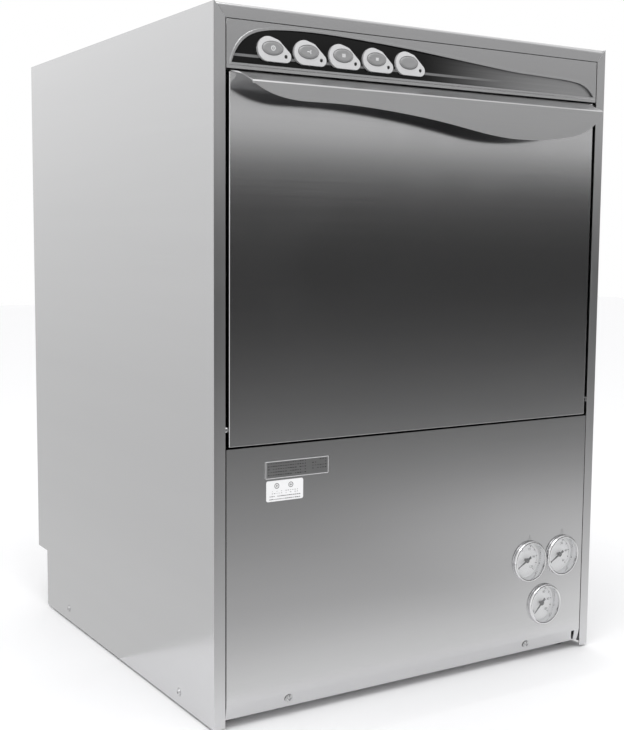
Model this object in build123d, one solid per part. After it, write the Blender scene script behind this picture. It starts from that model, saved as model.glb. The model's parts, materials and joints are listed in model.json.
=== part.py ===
from build123d import *
import math
import os

# Undercounter commercial dishwasher. Millimetres. +X right seen from the front, +Y to the back,
# +Z up. Origin: on the floor, under the middle of the machine's outline.

# --- overall sizes -----------------------------------------------------------------------------
WIDTH = 610.0                # outside the side panels
DEPTH = 620.0                # front plane of the cabinet to its back
HEIGHT = 851.0               # floor to the top, feet screwed in
HANDLE_REACH = 32.0          # handle in front of the door
SHEET = 1.2                  # stainless sheet of the cabinet, door and tank
SEAM = 0.2                   # clearance in a closed seam
PAST = 1.0                   # how far a cutting solid reaches past the face that it cuts
THROUGH = 5.0                # half length of a round cutter through a sheet
FLOOR_GAP = 3.0              # floor to the lower edge of the side panels

# --- cabinet -----------------------------------------------------------------------------------
FLANGE = 15.0                # front flanges of the side panels
RETURN = 14.0                # their inward fold
TOP_LIP = 17.0               # front lip of the top cover
COVER_BEND = 6.0             # outside radius of the top cover's roll into its lip
REAR_FLANGE = 20.0           # flanges that carry the back panel
RECESS_DEPTH = 40.0          # plumbing recess low at the back
RECESS_HEIGHT = 88.0
SERVICE_FLANGE = 18.0        # upturned edge of the recess shelf, behind the back panel
PAN_Z = 12.0                 # underside of the base pan
PAN_SHEET = 1.5
PAN_WALL = 28.0
PANEL_GAP = 1.4              # open joint between a front panel and a flange
PANEL_TOP = 340.5            # upper edge of the lower front panel
PANEL_LOW = 9.0              # lower edge above the side panels'
PAN_IN = 5.0                 # base pan behind the front plane
PANEL_RETURN = 15.0
KICK = 17.0                  # bent lower lip of the front panel
KICK_BACK = 3.0
KICK_SLOT = (14.5, 6.0)      # right end of the lip: margin to the panel's end, slot width
KICK_SLOT_TOP = 15.0         # the slot's height above the lip's lower edge

# --- fascia and keys ---------------------------------------------------------------------------
FASCIA_LOW = 72.5            # below the top
FASCIA_GAP = 0.9             # open joint between the fascia and the top cover's lip
RIM = 2.6                    # raised rim round the window
RIM_PROUD = 1.4
WINDOW_END = 5.6             # window to fascia end
WINDOW_LOW = 6.5             # window to fascia lower edge
OVERLAY_DEPTH = 2.4          # overlay behind the front plane
OVERLAY_SHEET = 1.5
KEY_COUNT = 5
KEY_FIRST = 55.7             # left edge of the first key bezel from the cabinet's left side
KEY_PITCH = 48.7
KEY_Z = 46.0                 # key centre below the top
KEY_SIZE = (28.0, 15.5)
KEY_TRAVEL = 1.5
KEY_GAP = 0.4
KEY_LENGTH = 15.0
KEY_PROUD = 3.0
KEY_FLANGE = (1.2, 2.0)      # round the oval, thickness
KEY_EDGE = 1.2               # rounding of the key's face
KEY_IN = 20.0                # key centre from the bezel's left edge
BEZEL_PROUD = 1.6
BEZEL_ROUND = 14.2
BEZEL_HEAD = (-5.5, -1.0)    # centre of the bezel's round head, from the key centre
BEZEL_SHOULDER = (2.5, -1.0, 12.0)       # centre and radius
BEZEL_TAIL = 7.0
LAMP_AT = (18.0, -8.3)       # lamp centre, from the key centre
LAMP_R = 2.0
LAMP_IN = 0.4                # lamp behind the bezel's face
BOARD_Y = 20.0               # circuit board behind the front plane
BOARD_SHEET = 1.6
BOARD_ENDS = (24.0, 40.0)    # beyond the first and the last key
BOARD_HALF = 18.0
SWITCH_HALF = 6.0

# --- door --------------------------------------------------------------------------------------
DOOR_GAP_TOP = 4.0           # fascia to door
DOOR_GAP_LOW = 2.5           # door to lower panel
DOOR_GAP_SIDE = 5.0
DOOR_FOLD = 18.0             # depth of the outer skin's folded edges
DOOR_THICK = 40.0
DOOR_PLATEAU = 8.0           # outer skin's edge to the inner skin's raised part
PLATEAU_LOW = 25.0           # door's lower edge to the raised part
HINGE_UP = 20.0              # hinge line above the door's lower edge
HINGE_IN = 8.0               # hinge line behind the front plane
PIN_R = 4.0
PIN_HOLE = 0.4               # radial clearance in the flange
PIN_END = 0.6                # pin's end to the side sheet
PIN_PLATE = (3.0, 12.0, 14.0)            # thickness, below and above the hinge line
BRACKET = (2.6, 24.0, 26.0)  # ear thickness, below and above the hinge line
BRACKET_BACK = (40.0, 3.0)   # rear of the bracket behind the front plane, foot thickness
DOOR_EDGE = 0.9              # rounding of the outer skin
INNER_IN = 1.0               # inner skin's edge inside the outer one, above and below
PLATEAU_TOP = 2.5            # raised part below the door's upper edge
RUNNING = 0.05               # radial clearance of a shaft in its bore
HANDLE_SHEET = 1.5
HANDLE_DROP = 13.0           # fall of the handle's ledge
HANDLE_ROOT = 2.0            # ledge end to door edge
HANDLE_FLARE = 11.0          # rounded root of the handle's ends
HANDLE_KINK = 1.0            # ledge starts to slope in front of the door
HANDLE_NOSE = (2.0, 0.8, 1.2, 4.0)       # depth, rise, fall and length of the rolled nose
SPRING_R = (4.5, 7.0)        # inside, outside
SPRING_OFF = 1.0             # spring's axis behind the hinge line
SPRING_GAP = (0.3, 0.8)      # to the bracket, to the side sheet

# --- wash chamber ------------------------------------------------------------------------------
GASKET_THICK = 5.0           # door's sealing face to the tank mouth
MOUTH_SIDE = 40.0            # tank inner wall to cabinet side
TANK_BACK = 60.0             # tank inner wall to cabinet back
TANK_FLOOR = 378.0
TANK_ROOF = 85.0             # below the top
MOUTH_FLANGE = 9.0           # tank flange above and below the mouth
SUMP_SIDE = 115.0            # tank wall to sump wall
SUMP_ENDS = 107.5
SUMP_FLOOR = 300.0
SUMP_FLANGE = 9.0
SCREEN_LAP = 15.0
SCREEN_SHEET = 1.5
SCREEN_PLAY = 1.0            # round the riser and the standpipe
RAIL_Z = 428.0
RAIL_WIDTH = 26.0
RAIL_SHEET = 1.5
GASKET_WIDTH = 8.0
GASKET_IN = 2.0
GASKET_RISE = 0.8            # gasket's inside above the chamber's roof
RAIL_ENDS = (6.0, 4.0)       # rail to the mouth, to the rear wall
RAIL_HANG = 4.0              # web's lower edge above the rail's width
MOUTH_LIP = 3.0              # extra depth of the lower mouth flange

# --- spray arms and pump -----------------------------------------------------------------------
ARM_CLEAR = 30.0             # wash arm tip to chamber wall
ARM_WIDTH = 38.0
ARM_THICK = 12.0
ARM_HUB = (26.0, 18.0)       # hub radius, hub height
RINSE_CLEAR = 55.0
RINSE_R = 6.0
RINSE_HUB = (18.0, 13.0)
SPIGOT_R = (12.0, 8.0)       # bearing of the wash arm, of the rinse arm
ARM_PLAY = 0.3
CAP = (14.0, 6.0)
RISER_R = 20.0
PIPE_R = 14.0
PIPE_BEND = 18.0
PIPE_WALL = 2.0
HUB_BORE = 5.0               # water way through the spray hubs
ARM_RISE = 5.0               # lower arms' shoulder above the screen
ARM_HANG = 12.0              # upper arms' shoulder below the roof
BRANCH_UP = 4.0              # branch's underside above the pump outlet
ROOF_CLEAR = 6.0             # upper pipe over the tank's roof
BRANCH = 60.0                # end of the riser's rear branch
PUMP_Z = 170.0
PUMP_OFFSET = 50.0           # pump axis left of the riser
PUMP_R = (72.0, 60.0)
PUMP_WIDE = 60.0
PUMP_WALL = 6.0
OUTLET_R = (18.0, 14.0)
OUTLET_Z = 262.0
SUCTION_R = (17.0, 13.0)
SUCTION_Y = 75.0
SUCTION_BEND = 22.0
PUMP_FOOT = (40.0, 4.0)      # half width, thickness
IMPELLER_R = 55.0
IMPELLER_DISC = (6.0, 2.0)   # thickness, clearance to the casing
VANE = (6, 2.0, 6.0, 16.0)   # count, half thickness, tip inside the disc, start behind the casing's inside
SHAFT_R = 8.0
MOTOR = (52.0, 150.0)
MOTOR_CRADLE = (35.0, 5.0)   # cradle plates: half width, thickness
MOTOR_CRADLE_IN = 25.0       # from the motor's ends
SHAFT_IN = 58.0
SHAFT_END = 2.0              # bore beyond the shaft's end
STANDPIPE_IN = 50.0          # standpipe axis to sump wall
STANDPIPE_R = (16.0, 11.5)
STANDPIPE_RISE = 3.5         # above the screen
STANDPIPE_BAR = (13.0, 2.0, 6.0)         # grip across the top: half length, half width, depth
DRAIN_R = (16.0, 12.0)
DRAIN_Z = 60.0
DRAIN_BEND = 30.0
DRAIN_OUT = 34.0
DRAIN_COLLAR = 21.0

# --- services ----------------------------------------------------------------------------------
BOILER_R = 62.0
BOILER_Z = (60.0, 345.0)
BOILER_CLEAR = 20.0
BOILER_WALL = 2.5
BOILER_BEND = 10.0
BOILER_PORT = (9.0, 6.0, 22.0)           # outside and inside radius, height
BOILER_STAND = 48.0
HEATER_R = 4.0
HEATER_BEND = 15.0
HEATER_Z = 316.0
HEATER_PLATE = (12.0, 5.0)   # round the legs, thickness
HEATER_IN = (28.0, 40.0)     # leg to the suction, bend to the sump's front wall
VALVE_X = 200.0              # left of the middle
VALVE_Z = 65.0
VALVE_BODY = (20.0, 80.0, 36.0, 25.0)    # half width, front and rear from the recess, above the port
VALVE_COIL = (16.0, 32.0)    # radius, height
INLET_R = 13.2
INLET_OUT = 28.0
INLET_HEX = 18.2
INLET_HEX_IN = 8.0           # hexagon inside the recess sheet
PORT_NUT = 6.0               # nut or collar outside the recess sheet
GLAND_X = 120.0              # left of the middle
GLAND_Z = 55.0
GLAND_BORE = 6.5
GLAND_R = (10.0, 14.0)
GLAND_OUT = 16.0
GLAND_IN = 14.0
GLAND_NUTS = (7.0, 5.0)      # outside and inside the recess sheet
DOSER_X = 80.0               # from the cabinet side
DOSER_Z = 155.0
DOSER = (70.0, 50.0, 70.0)
DOSER_Y = 60.0
DOSER_CAVITY = (26.0, 30.0)  # radius, depth
DOSER_FOOT = (25.0, 8.0)     # half width, thickness
ROTOR = (4.0, 9.0, 24.0)     # front of the hub behind the housing's, hub radius, hub length
ROTOR_SHAFT = (4.0, 40.0)
ROLLERS = (3, 16.0, 6.5, 22.0)           # count, distance from the axis, radius, length
ROLLER_ARM = (2.0, 3.0, 20.0)            # behind the hub's front, half width, length
ROTOR_START = 30.0           # first roller at rest

# --- gauges, plates, screws, feet --------------------------------------------------------------
GAUGE_PLACES = [(116.6, 142.0), (55.5, 142.8), (87.0, 76.5)]   # from the right side, from the floor
GAUGE_AIM = [210.0, 210.0, 225.0]        # needle at rest, counter-clockwise from +X
GAUGE_BEZEL = 29.0
GAUGE_LIP = 2.0              # bezel over the case, which sits in the panel's hole
GAUGE_RING = 3.5             # bezel round the dial
GAUGE_PROUD = 5.0
GAUGE_ROUND = 2.0            # rounding of the bezel
GAUGE_CUP = 12.0             # bottom of the cup behind the front plane
DIAL = (8.0, 1.0)            # behind the front plane, thickness
LENS = (1.2, 1.5)            # behind the bezel's face, thickness
GAUGE_DEEP = 38.0
NEEDLE_SHORT = 6.5           # needle tip to the bezel's inside
NEEDLE_TAIL = 8.0
NEEDLE_SHAFT = 1.5
NEEDLE_HALF = (0.35, 1.5, 1.8)           # half width at the tip, the hub and the tail
NEEDLE_BLADE = (3.0, 0.8)    # behind the front plane, thickness
NEEDLE_HUB = (2.4, 2.0, 3.4) # behind the front plane, thickness, radius
NEEDLE_DEEP = 18.0           # length of the shaft
PLATE = (67.5, 159.0, 300.0, 322.0, 0.8)         # x from the left side, z, thickness
LABEL = (70.0, 121.7, 272.5, 297.8, 0.4)
PLATE_CORNER = 2.5
SCREW_R = 2.4
SCREW_SEAT = 0.1             # front screws' heads in the lip's slope
SCREW_HEAD = (5.5, 1.8)
SCREW_LONG = 9.0
FRONT_SCREWS = [103.7, 491.8]            # from the left side
FRONT_SCREW_Z = 22.5
SIDE_SCREWS = [(97.0, 19.0), (486.0, 21.0)]      # from the front, from the floor
BACK_SCREW_Z = [150.0, 450.0, 750.0]
FOOT_IN = (30.0, 45.0)       # foot axis from the side, from the front and the recess
FOOT_PAD = (20.0, 8.0)
FOOT_STUD = 6.0
FOOT_LONG = 52.0
FOOT_EDGE = 3.0
FOOT_BOSS = 14.0

# --- planes and lines worked out from the sizes above ------------------------------------------
GAUGE_BODY = GAUGE_BEZEL - GAUGE_LIP
GAUGE_FACE = GAUGE_BEZEL - GAUGE_RING
NEEDLE_LONG = GAUGE_FACE - NEEDLE_SHORT
HALF = WIDTH / 2
FRONT = HANDLE_REACH - (DEPTH + HANDLE_REACH + SCREW_HEAD[1]) / 2
BACK = FRONT + DEPTH
RECESS_Y = BACK - RECESS_DEPTH
RECESS_Z = FLOOR_GAP + RECESS_HEIGHT
OPENING = HALF - FLANGE                  # half width between the flanges
LIP_Z = HEIGHT - TOP_LIP
FASCIA_Z = HEIGHT - FASCIA_LOW
FASCIA_TOP = LIP_Z - FASCIA_GAP
PANEL_HALF = OPENING - PANEL_GAP
DOOR_Z = (PANEL_TOP + DOOR_GAP_LOW, FASCIA_Z - DOOR_GAP_TOP)
DOOR_HALF = OPENING - DOOR_GAP_SIDE
HINGE_Y = FRONT + HINGE_IN
HINGE_Z = DOOR_Z[0] + HINGE_UP
MOUTH = FRONT + DOOR_THICK + GASKET_THICK
TANK_HALF = HALF - MOUTH_SIDE
TANK_REAR = BACK - TANK_BACK
TANK_TOP = HEIGHT - TANK_ROOF
ARM_Y = (MOUTH + TANK_REAR) / 2          # spray arm axis
SUMP_HALF = TANK_HALF - SUMP_SIDE
SUMP_DEEP = (TANK_REAR - MOUTH) / 2 - SUMP_ENDS
SCREEN_TOP = TANK_FLOOR + SCREEN_SHEET
PIPE_X = SUMP_HALF - STANDPIPE_IN
PIPE_Y = ARM_Y - SUMP_DEEP + STANDPIPE_IN
ARM_LOW = SCREEN_TOP + ARM_RISE          # shoulder that carries the lower arms
ARM_HIGH = TANK_TOP - ARM_HANG           # shoulder under the roof
PUMP_X = -PUMP_OFFSET
KEY_X = [KEY_FIRST - HALF + KEY_IN + KEY_PITCH * i for i in range(KEY_COUNT)]
KEY_LEVEL = HEIGHT - KEY_Z
PAN_TOP = PAN_Z + PAN_SHEET
PAN_HALF = HALF - SHEET - SEAM
PAN_FRONT = FRONT + PAN_IN
FEET = [(sx * (HALF - FOOT_IN[0]), y) for sx in (-1, 1)
        for y in (FRONT + FOOT_IN[1], RECESS_Y - FOOT_IN[1])]


# --- helpers -----------------------------------------------------------------------------------
def block(x0, x1, y0, y1, z0, z1):
    """A box between two corners."""
    middle = ((x0 + x1) / 2, (y0 + y1) / 2, (z0 + z1) / 2)
    return Pos(*middle) * Box(x1 - x0, y1 - y0, z1 - z0)


def rod(axis, start, length, radius):
    """A round bar from start, along +X, +Y or +Z."""
    turn = {"X": (0, 90, 0), "Y": (-90, 0, 0), "Z": (0, 0, 0)}[axis]
    bar = Cylinder(radius, length, align=(Align.CENTER, Align.CENTER, Align.MIN))
    return Pos(*start) * Rot(*turn) * bar


def front_plate(sketch, y0, thickness):
    """A sketch in X and Z, given thickness from y0 backwards."""
    plane = Plane(origin=(0, y0 + thickness, 0), x_dir=(1, 0, 0), z_dir=(0, -1, 0))
    return extrude(plane * sketch, amount=thickness)


def bar_along_x(points, x0, x1):
    """A closed outline in Y and Z, drawn out from x0 to x1."""
    plane = Plane(origin=(x0, 0, 0), x_dir=(0, 1, 0), z_dir=(1, 0, 0))
    return extrude(plane * make_face(Polyline(*points, close=True)), amount=x1 - x0)


def rectangle(x0, x1, z0, z1):
    """A rectangle between two corners, as a sketch."""
    return Pos((x0 + x1) / 2, (z0 + z1) / 2) * Rectangle(x1 - x0, z1 - z0)


def folded(points, thickness):
    """The outline of a folded sheet: points along one face, thickness to their left."""
    normals = []
    for a, b in zip(points, points[1:]):
        long = math.hypot(b[0] - a[0], b[1] - a[1])
        normals.append((-(b[1] - a[1]) / long, (b[0] - a[0]) / long))
    other = []
    for i, point in enumerate(points):
        before = normals[max(i - 1, 0)]
        after = normals[min(i, len(normals) - 1)]
        share = thickness / (1 + before[0] * after[0] + before[1] * after[1])
        other.append((point[0] + share * (before[0] + after[0]),
                      point[1] + share * (before[1] + after[1])))
    return points + other[::-1]


def bent_pipe(points, bend, radius):
    """A round pipe along straight runs joined by arcs."""
    path = FilletPolyline(*points, radius=bend)
    start = Plane(origin=path @ 0, z_dir=path % 0)
    return sweep(start * Circle(radius), path=path)


def save(name, shape):
    """Write one node."""
    export_step(shape, f"parts/{name}.step")


def group(solids):
    """Separate solids that share one node."""
    return Compound(children=[solid for part in solids for solid in part.solids()])


# --- cabinet -----------------------------------------------------------------------------------
def mitre(sign, gap):
    """The corner of the front frame that belongs to the top cover."""
    foot = sign * (OPENING + gap)
    head = sign * (HALF - SHEET + gap)
    return make_face(Polyline((foot, LIP_Z), (foot, HEIGHT), (head, HEIGHT), close=True))


def side_panel(sign):
    """Square-cornered side sheet with a folded front flange, a rear flange and the recess."""
    panel = block(*sorted((sign * HALF, sign * (HALF - SHEET))), FRONT, BACK, FLOOR_GAP, HEIGHT)
    panel += block(*sorted((sign * HALF, sign * OPENING)), FRONT, FRONT + SHEET, FLOOR_GAP, HEIGHT)
    fold = sorted((sign * OPENING, sign * (OPENING + SHEET)))
    panel += block(*fold, FRONT, FRONT + RETURN, PAN_Z + PAN_WALL + SHEET, LIP_Z)
    rear = sorted((sign * HALF, sign * (HALF - REAR_FLANGE)))
    rear_y = BACK - SHEET - SEAM
    panel += block(*rear, rear_y - SHEET, rear_y, RECESS_Z + SHEET + SEAM, HEIGHT - SHEET - SEAM)
    panel -= front_plate(mitre(sign, 0), FRONT - PAST, SHEET + SEAM + PAST)
    panel -= block(-HALF, HALF, RECESS_Y, BACK + PAST, 0, RECESS_Z)
    panel -= rod("X", (sign * OPENING - SHEET * 2, HINGE_Y, HINGE_Z), SHEET * 4, PIN_R + PIN_HOLE)
    for y, z in SIDE_SCREWS:
        panel -= rod("X", (sign * HALF - THROUGH, FRONT + y, z), 2 * THROUGH, SCREW_R + SEAM)
    for z in BACK_SCREW_Z:
        place = (sign * (HALF - REAR_FLANGE / 2), BACK - THROUGH, z)
        panel -= rod("Y", place, 2 * THROUGH, SCREW_R + SEAM)
    return panel


def rolled(x, y0, y1, z0, z1, radius):
    """A block as wide as 2 x whose upper front edge is rounded."""
    shape = block(-x, x, y0, y1, z0, z1)
    upper = shape.edges().filter_by(Axis.X).group_by(Axis.Y)[0].sort_by(Axis.Z)[-1]
    return fillet(upper, radius)


def top_cover():
    """Flat sheet between the side panels, rolled down at the front into a mitred lip."""
    inner = HALF - SHEET - SEAM
    cover = rolled(inner, FRONT, BACK, LIP_Z, HEIGHT, COVER_BEND)
    cover -= rolled(HALF, FRONT + SHEET, BACK + PAST, LIP_Z - PAST, HEIGHT - SHEET,
                    COVER_BEND - SHEET)
    for sign in (-1, 1):
        corner = rectangle(*sorted((sign * (OPENING - SEAM), sign * HALF)), LIP_Z - PAST, HEIGHT)
        cover -= front_plate(corner - mitre(sign, -SEAM), FRONT - PAST, SHEET + SEAM + PAST)
    return cover


def back_panel():
    """Upper back sheet, down to the plumbing recess."""
    gap = SHEET + SEAM
    panel = block(gap - HALF, HALF - gap, BACK - SHEET, BACK, RECESS_Z + gap, HEIGHT - gap)
    for sign in (-1, 1):
        for z in BACK_SCREW_Z:
            place = (sign * (HALF - REAR_FLANGE / 2), BACK - THROUGH, z)
            panel -= rod("Y", place, 2 * THROUGH, SCREW_R + SEAM)
    return panel


def recess_shelf():
    """Shelf over the plumbing recess, with an upturned flange behind the back panel."""
    inner = HALF - SHEET - SEAM
    flange = HALF - REAR_FLANGE - SEAM
    rear = BACK - SHEET - SEAM
    shelf = block(-inner, inner, RECESS_Y - SHEET, BACK, RECESS_Z, RECESS_Z + SHEET)
    return shelf + block(-flange, flange, rear - SHEET, rear, RECESS_Z, RECESS_Z + SERVICE_FLANGE)


def service_panel():
    """Sheet at the back of the plumbing recess, with holes for the services."""
    inner = HALF - SHEET - SEAM
    panel = block(-inner, inner, RECESS_Y - SHEET, RECESS_Y, PAN_TOP + SEAM, RECESS_Z)
    for x, z, radius in ((-VALVE_X, VALVE_Z, INLET_R), (-GLAND_X, GLAND_Z, GLAND_R[0]),
                         (PIPE_X, DRAIN_Z, DRAIN_R[0])):
        panel -= rod("Y", (x, RECESS_Y - THROUGH, z), 2 * THROUGH, radius + SEAM)
    return panel


def base_pan():
    """Base tray with upturned walls and four threaded bosses for the feet."""
    rear = RECESS_Y - SHEET - SEAM
    pan = block(-PAN_HALF, PAN_HALF, PAN_FRONT, rear, PAN_Z, PAN_Z + PAN_WALL)
    pan -= block(-PAN_HALF + PAN_SHEET, PAN_HALF - PAN_SHEET, PAN_FRONT + PAN_SHEET,
                 rear - PAN_SHEET, PAN_TOP, PAN_Z + PAN_WALL + PAST)
    pan -= block(-PAN_HALF - PAST, PAN_HALF + PAST, rear - PAN_SHEET - PAST, rear + SHEET + PAST,
                 PAN_TOP, PAN_Z + PAN_WALL + PAST)
    for x, y in FEET:
        pan += rod("Z", (x, y, PAN_Z), PAN_WALL, FOOT_BOSS)
        pan -= rod("Z", (x, y, 0), HEIGHT, FOOT_STUD + RUNNING)
    for x in FRONT_SCREWS:
        pan -= rod("Y", (x - HALF, PAN_FRONT - PAST, FRONT_SCREW_Z), THROUGH, SCREW_R + SEAM)
    for sign in (-1, 1):
        for y, z in SIDE_SCREWS:
            pan -= rod("X", (sign * PAN_HALF - THROUGH, FRONT + y, z), 2 * THROUGH, SCREW_R + SEAM)
    return pan


def lower_front_panel():
    """Front sheet with an upper fold and a lower lip bent back, and three gauge holes."""
    low = FLOOR_GAP + PANEL_LOW
    points = [(FRONT + KICK_BACK, low), (FRONT, low + KICK), (FRONT, PANEL_TOP),
              (FRONT + PANEL_RETURN, PANEL_TOP)]
    panel = bar_along_x(folded(points, -SHEET), -PANEL_HALF, PANEL_HALF)
    slot_end = PANEL_HALF - KICK_SLOT[0] + KICK_SLOT[1]
    panel -= block(slot_end - KICK_SLOT[1], slot_end, FRONT - PAST, FRONT + 2 * THROUGH, 0,
                   low + KICK_SLOT_TOP)
    for x, z in GAUGE_PLACES:
        panel -= rod("Y", (HALF - x, FRONT - PAST, z), THROUGH, GAUGE_BODY + SEAM)
    for x in FRONT_SCREWS:
        panel -= rod("Y", (x - HALF, FRONT - THROUGH, FRONT_SCREW_Z), 2 * THROUGH, SCREW_R + SEAM)
    return panel


# --- fascia and keys ---------------------------------------------------------------------------
def window(grow):
    """The wave-shaped opening in the fascia, grown all round."""
    left = -PANEL_HALF + WINDOW_END - grow
    low = FASCIA_Z + WINDOW_LOW - grow
    wave = [(0.045, 33.0), (0.115, 41.3), (0.31, 40.8), (0.53, 32.8), (0.77, 22.0),
            (0.92, 19.0), (0.975, 12.5)]
    points = [(left - 2 * left * along, low + rise + 2 * grow) for along, rise in wave]
    curve = Spline((left, low), *points, (-left, low))
    return make_face(curve + Line((-left, low), (left, low)))


def control_fascia():
    """Pressed fascia sheet with a raised rim round its window and a lower fold."""
    sheet = rectangle(-PANEL_HALF, PANEL_HALF, FASCIA_Z, FASCIA_TOP)
    fascia = front_plate(sheet, FRONT, SHEET)
    fascia += front_plate(window(RIM), FRONT - RIM_PROUD, RIM_PROUD + SHEET)
    fascia -= front_plate(window(0), FRONT - 2 * RIM_PROUD, 2 * RIM_PROUD + 2 * SHEET)
    fascia += block(-PANEL_HALF, PANEL_HALF, FRONT, FRONT + DOOR_FOLD, FASCIA_Z, FASCIA_Z + SHEET)
    return fascia


def key_face(i, grow):
    """The oval of one key, grown all round."""
    size = Ellipse(KEY_SIZE[0] / 2 + grow, KEY_SIZE[1] / 2 + grow)
    return Pos(KEY_X[i], KEY_LEVEL) * size


def lamp_place(i):
    """Centre of the lamp in one key's tail."""
    return (KEY_X[i] + LAMP_AT[0], KEY_LEVEL + LAMP_AT[1])


def control_overlay():
    """Gloss panel behind the window, cut for the keys and lamps."""
    low = FASCIA_Z + SHEET + SEAM
    inner = PANEL_HALF - SHEET
    sheet = rectangle(-inner, inner, low, FASCIA_TOP - SHEET)
    for i in range(KEY_COUNT):
        sheet -= key_face(i, KEY_GAP)
        sheet -= Pos(*lamp_place(i)) * Circle(LAMP_R + SEAM)
    return front_plate(sheet, FRONT + OVERLAY_DEPTH, OVERLAY_SHEET)


def key_bezels():
    """Five drop-shaped bezels that stand on the overlay."""
    bezels = []
    across, up, shoulder = BEZEL_SHOULDER
    for i in range(KEY_COUNT):
        head = Pos(KEY_X[i] + BEZEL_HEAD[0], KEY_LEVEL + BEZEL_HEAD[1]) * Circle(BEZEL_ROUND)
        middle = Pos(KEY_X[i] + across, KEY_LEVEL + up) * Circle(shoulder)
        tail = Pos(*lamp_place(i)) * Circle(BEZEL_TAIL)
        drop = make_hull(head.edges() + middle.edges() + tail.edges())
        drop = drop - key_face(i, KEY_GAP) - Pos(*lamp_place(i)) * Circle(LAMP_R + SEAM)
        bezels.append(front_plate(drop, FRONT - BEZEL_PROUD, BEZEL_PROUD + OVERLAY_DEPTH))
    return group(bezels)


def key(i):
    """One push key: oval stem, domed face, and a flange that holds it behind the overlay."""
    stem = front_plate(key_face(i, 0), FRONT - KEY_PROUD, KEY_LENGTH)
    stem = fillet(stem.faces().sort_by(Axis.Y)[0].edges(), KEY_EDGE)
    rear = FRONT + OVERLAY_DEPTH + OVERLAY_SHEET + SEAM
    return stem + front_plate(key_face(i, KEY_FLANGE[0]), rear, KEY_FLANGE[1])


def key_lamps():
    """Five round lamp lenses."""
    start = FRONT - BEZEL_PROUD + LAMP_IN
    reach = OVERLAY_DEPTH + OVERLAY_SHEET + BEZEL_PROUD
    return group([rod("Y", (lamp_place(i)[0], start, lamp_place(i)[1]), reach, LAMP_R)
                  for i in range(KEY_COUNT)])


def control_board():
    """Circuit board with one switch behind each key."""
    y0 = FRONT + BOARD_Y
    first, last = KEY_X[0] - BOARD_ENDS[0], KEY_X[-1] + BOARD_ENDS[1]
    board = block(first, last, y0, y0 + BOARD_SHEET, KEY_LEVEL - BOARD_HALF,
                  KEY_LEVEL + BOARD_HALF)
    switch_y = FRONT - KEY_PROUD + KEY_LENGTH + KEY_TRAVEL + SEAM
    for x in KEY_X:
        board += block(x - SWITCH_HALF, x + SWITCH_HALF, switch_y, y0, KEY_LEVEL - SWITCH_HALF,
                       KEY_LEVEL + SWITCH_HALF)
    return board


# --- door --------------------------------------------------------------------------------------
def door_outer_skin():
    """Outer sheet folded back on all four edges."""
    skin = block(-DOOR_HALF, DOOR_HALF, FRONT, FRONT + DOOR_FOLD, *DOOR_Z)
    skin -= block(-DOOR_HALF + SHEET, DOOR_HALF - SHEET, FRONT + SHEET, FRONT + DOOR_FOLD + PAST,
                  DOOR_Z[0] + SHEET, DOOR_Z[1] - SHEET)
    edges = skin.faces().sort_by(Axis.Y)[0].edges()
    skin = fillet(edges, DOOR_EDGE)
    return skin - rod("X", (-HALF, HINGE_Y, HINGE_Z), WIDTH, PIN_R + SEAM)


def door_inner_skin():
    """Inner sheet with its raised sealing face."""
    y0 = FRONT + DOOR_FOLD
    skin = block(-DOOR_HALF, DOOR_HALF, y0, y0 + SHEET, DOOR_Z[0] + INNER_IN,
                 DOOR_Z[1] - INNER_IN)
    half = DOOR_HALF - DOOR_PLATEAU
    low, high = DOOR_Z[0] + PLATEAU_LOW, DOOR_Z[1] - PLATEAU_TOP
    skin += block(-half, half, y0, FRONT + DOOR_THICK, low, high)
    skin -= block(-half + SHEET, half - SHEET, y0 - PAST, FRONT + DOOR_THICK - SHEET,
                  low + SHEET, high - SHEET)
    return skin


def handle_end(sign):
    """One rounded end of the ledge, seen from above."""
    root = sign * (DOOR_HALF - HANDLE_ROOT)
    end = sign * (DOOR_HALF - HANDLE_ROOT - HANDLE_FLARE)
    slant = math.sqrt(0.5)
    middle = (root - sign * HANDLE_FLARE * slant, FRONT - HANDLE_FLARE * (1 - slant))
    return ThreePointArc((root, FRONT), middle, (end, FRONT - HANDLE_FLARE))


def door_handle():
    """Folded grip: root strip on the door's edge, sloping ledge and an apron cut to a wave."""
    root = DOOR_HALF - HANDLE_ROOT
    end = root - HANDLE_FLARE
    tip = FRONT - HANDLE_REACH
    rear = FRONT + RETURN
    plan = make_face(
        Line((-root, rear), (-root, FRONT)) + handle_end(-1)
        + Line((-end, FRONT - HANDLE_FLARE), (-end, tip)) + Line((-end, tip), (end, tip))
        + Line((end, tip), (end, FRONT - HANDLE_FLARE)) + handle_end(1)
        + Line((root, FRONT), (root, rear)) + Line((root, rear), (-root, rear)))
    top = DOOR_Z[1] + HANDLE_SHEET
    nose = top - HANDLE_DROP
    deep, rise, fall, long = HANDLE_NOSE
    ledge = bar_along_x(folded([(rear, top), (FRONT - HANDLE_KINK, top), (tip + deep, nose + rise),
                                (tip, nose - fall), (tip, nose - long)], HANDLE_SHEET), -HALF, HALF)
    ledge &= extrude(Pos(0, 0, nose - HANDLE_DROP) * plan, amount=3 * HANDLE_DROP)
    span = 2 * end
    wave = [(0.065, -14.0), (0.19, -17.0), (0.335, -20.0), (0.53, -31.5), (0.68, -42.5),
            (0.855, -39.0), (0.95, -25.0)]
    low = nose - long / 2
    points = [(-end + span * along, low + drop) for along, drop in wave]
    curve = Spline((-end, low), *points, (end, low))
    apron = front_plate(make_face(curve + Line((end, low), (-end, low))), tip, HANDLE_SHEET)
    return ledge + apron


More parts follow.
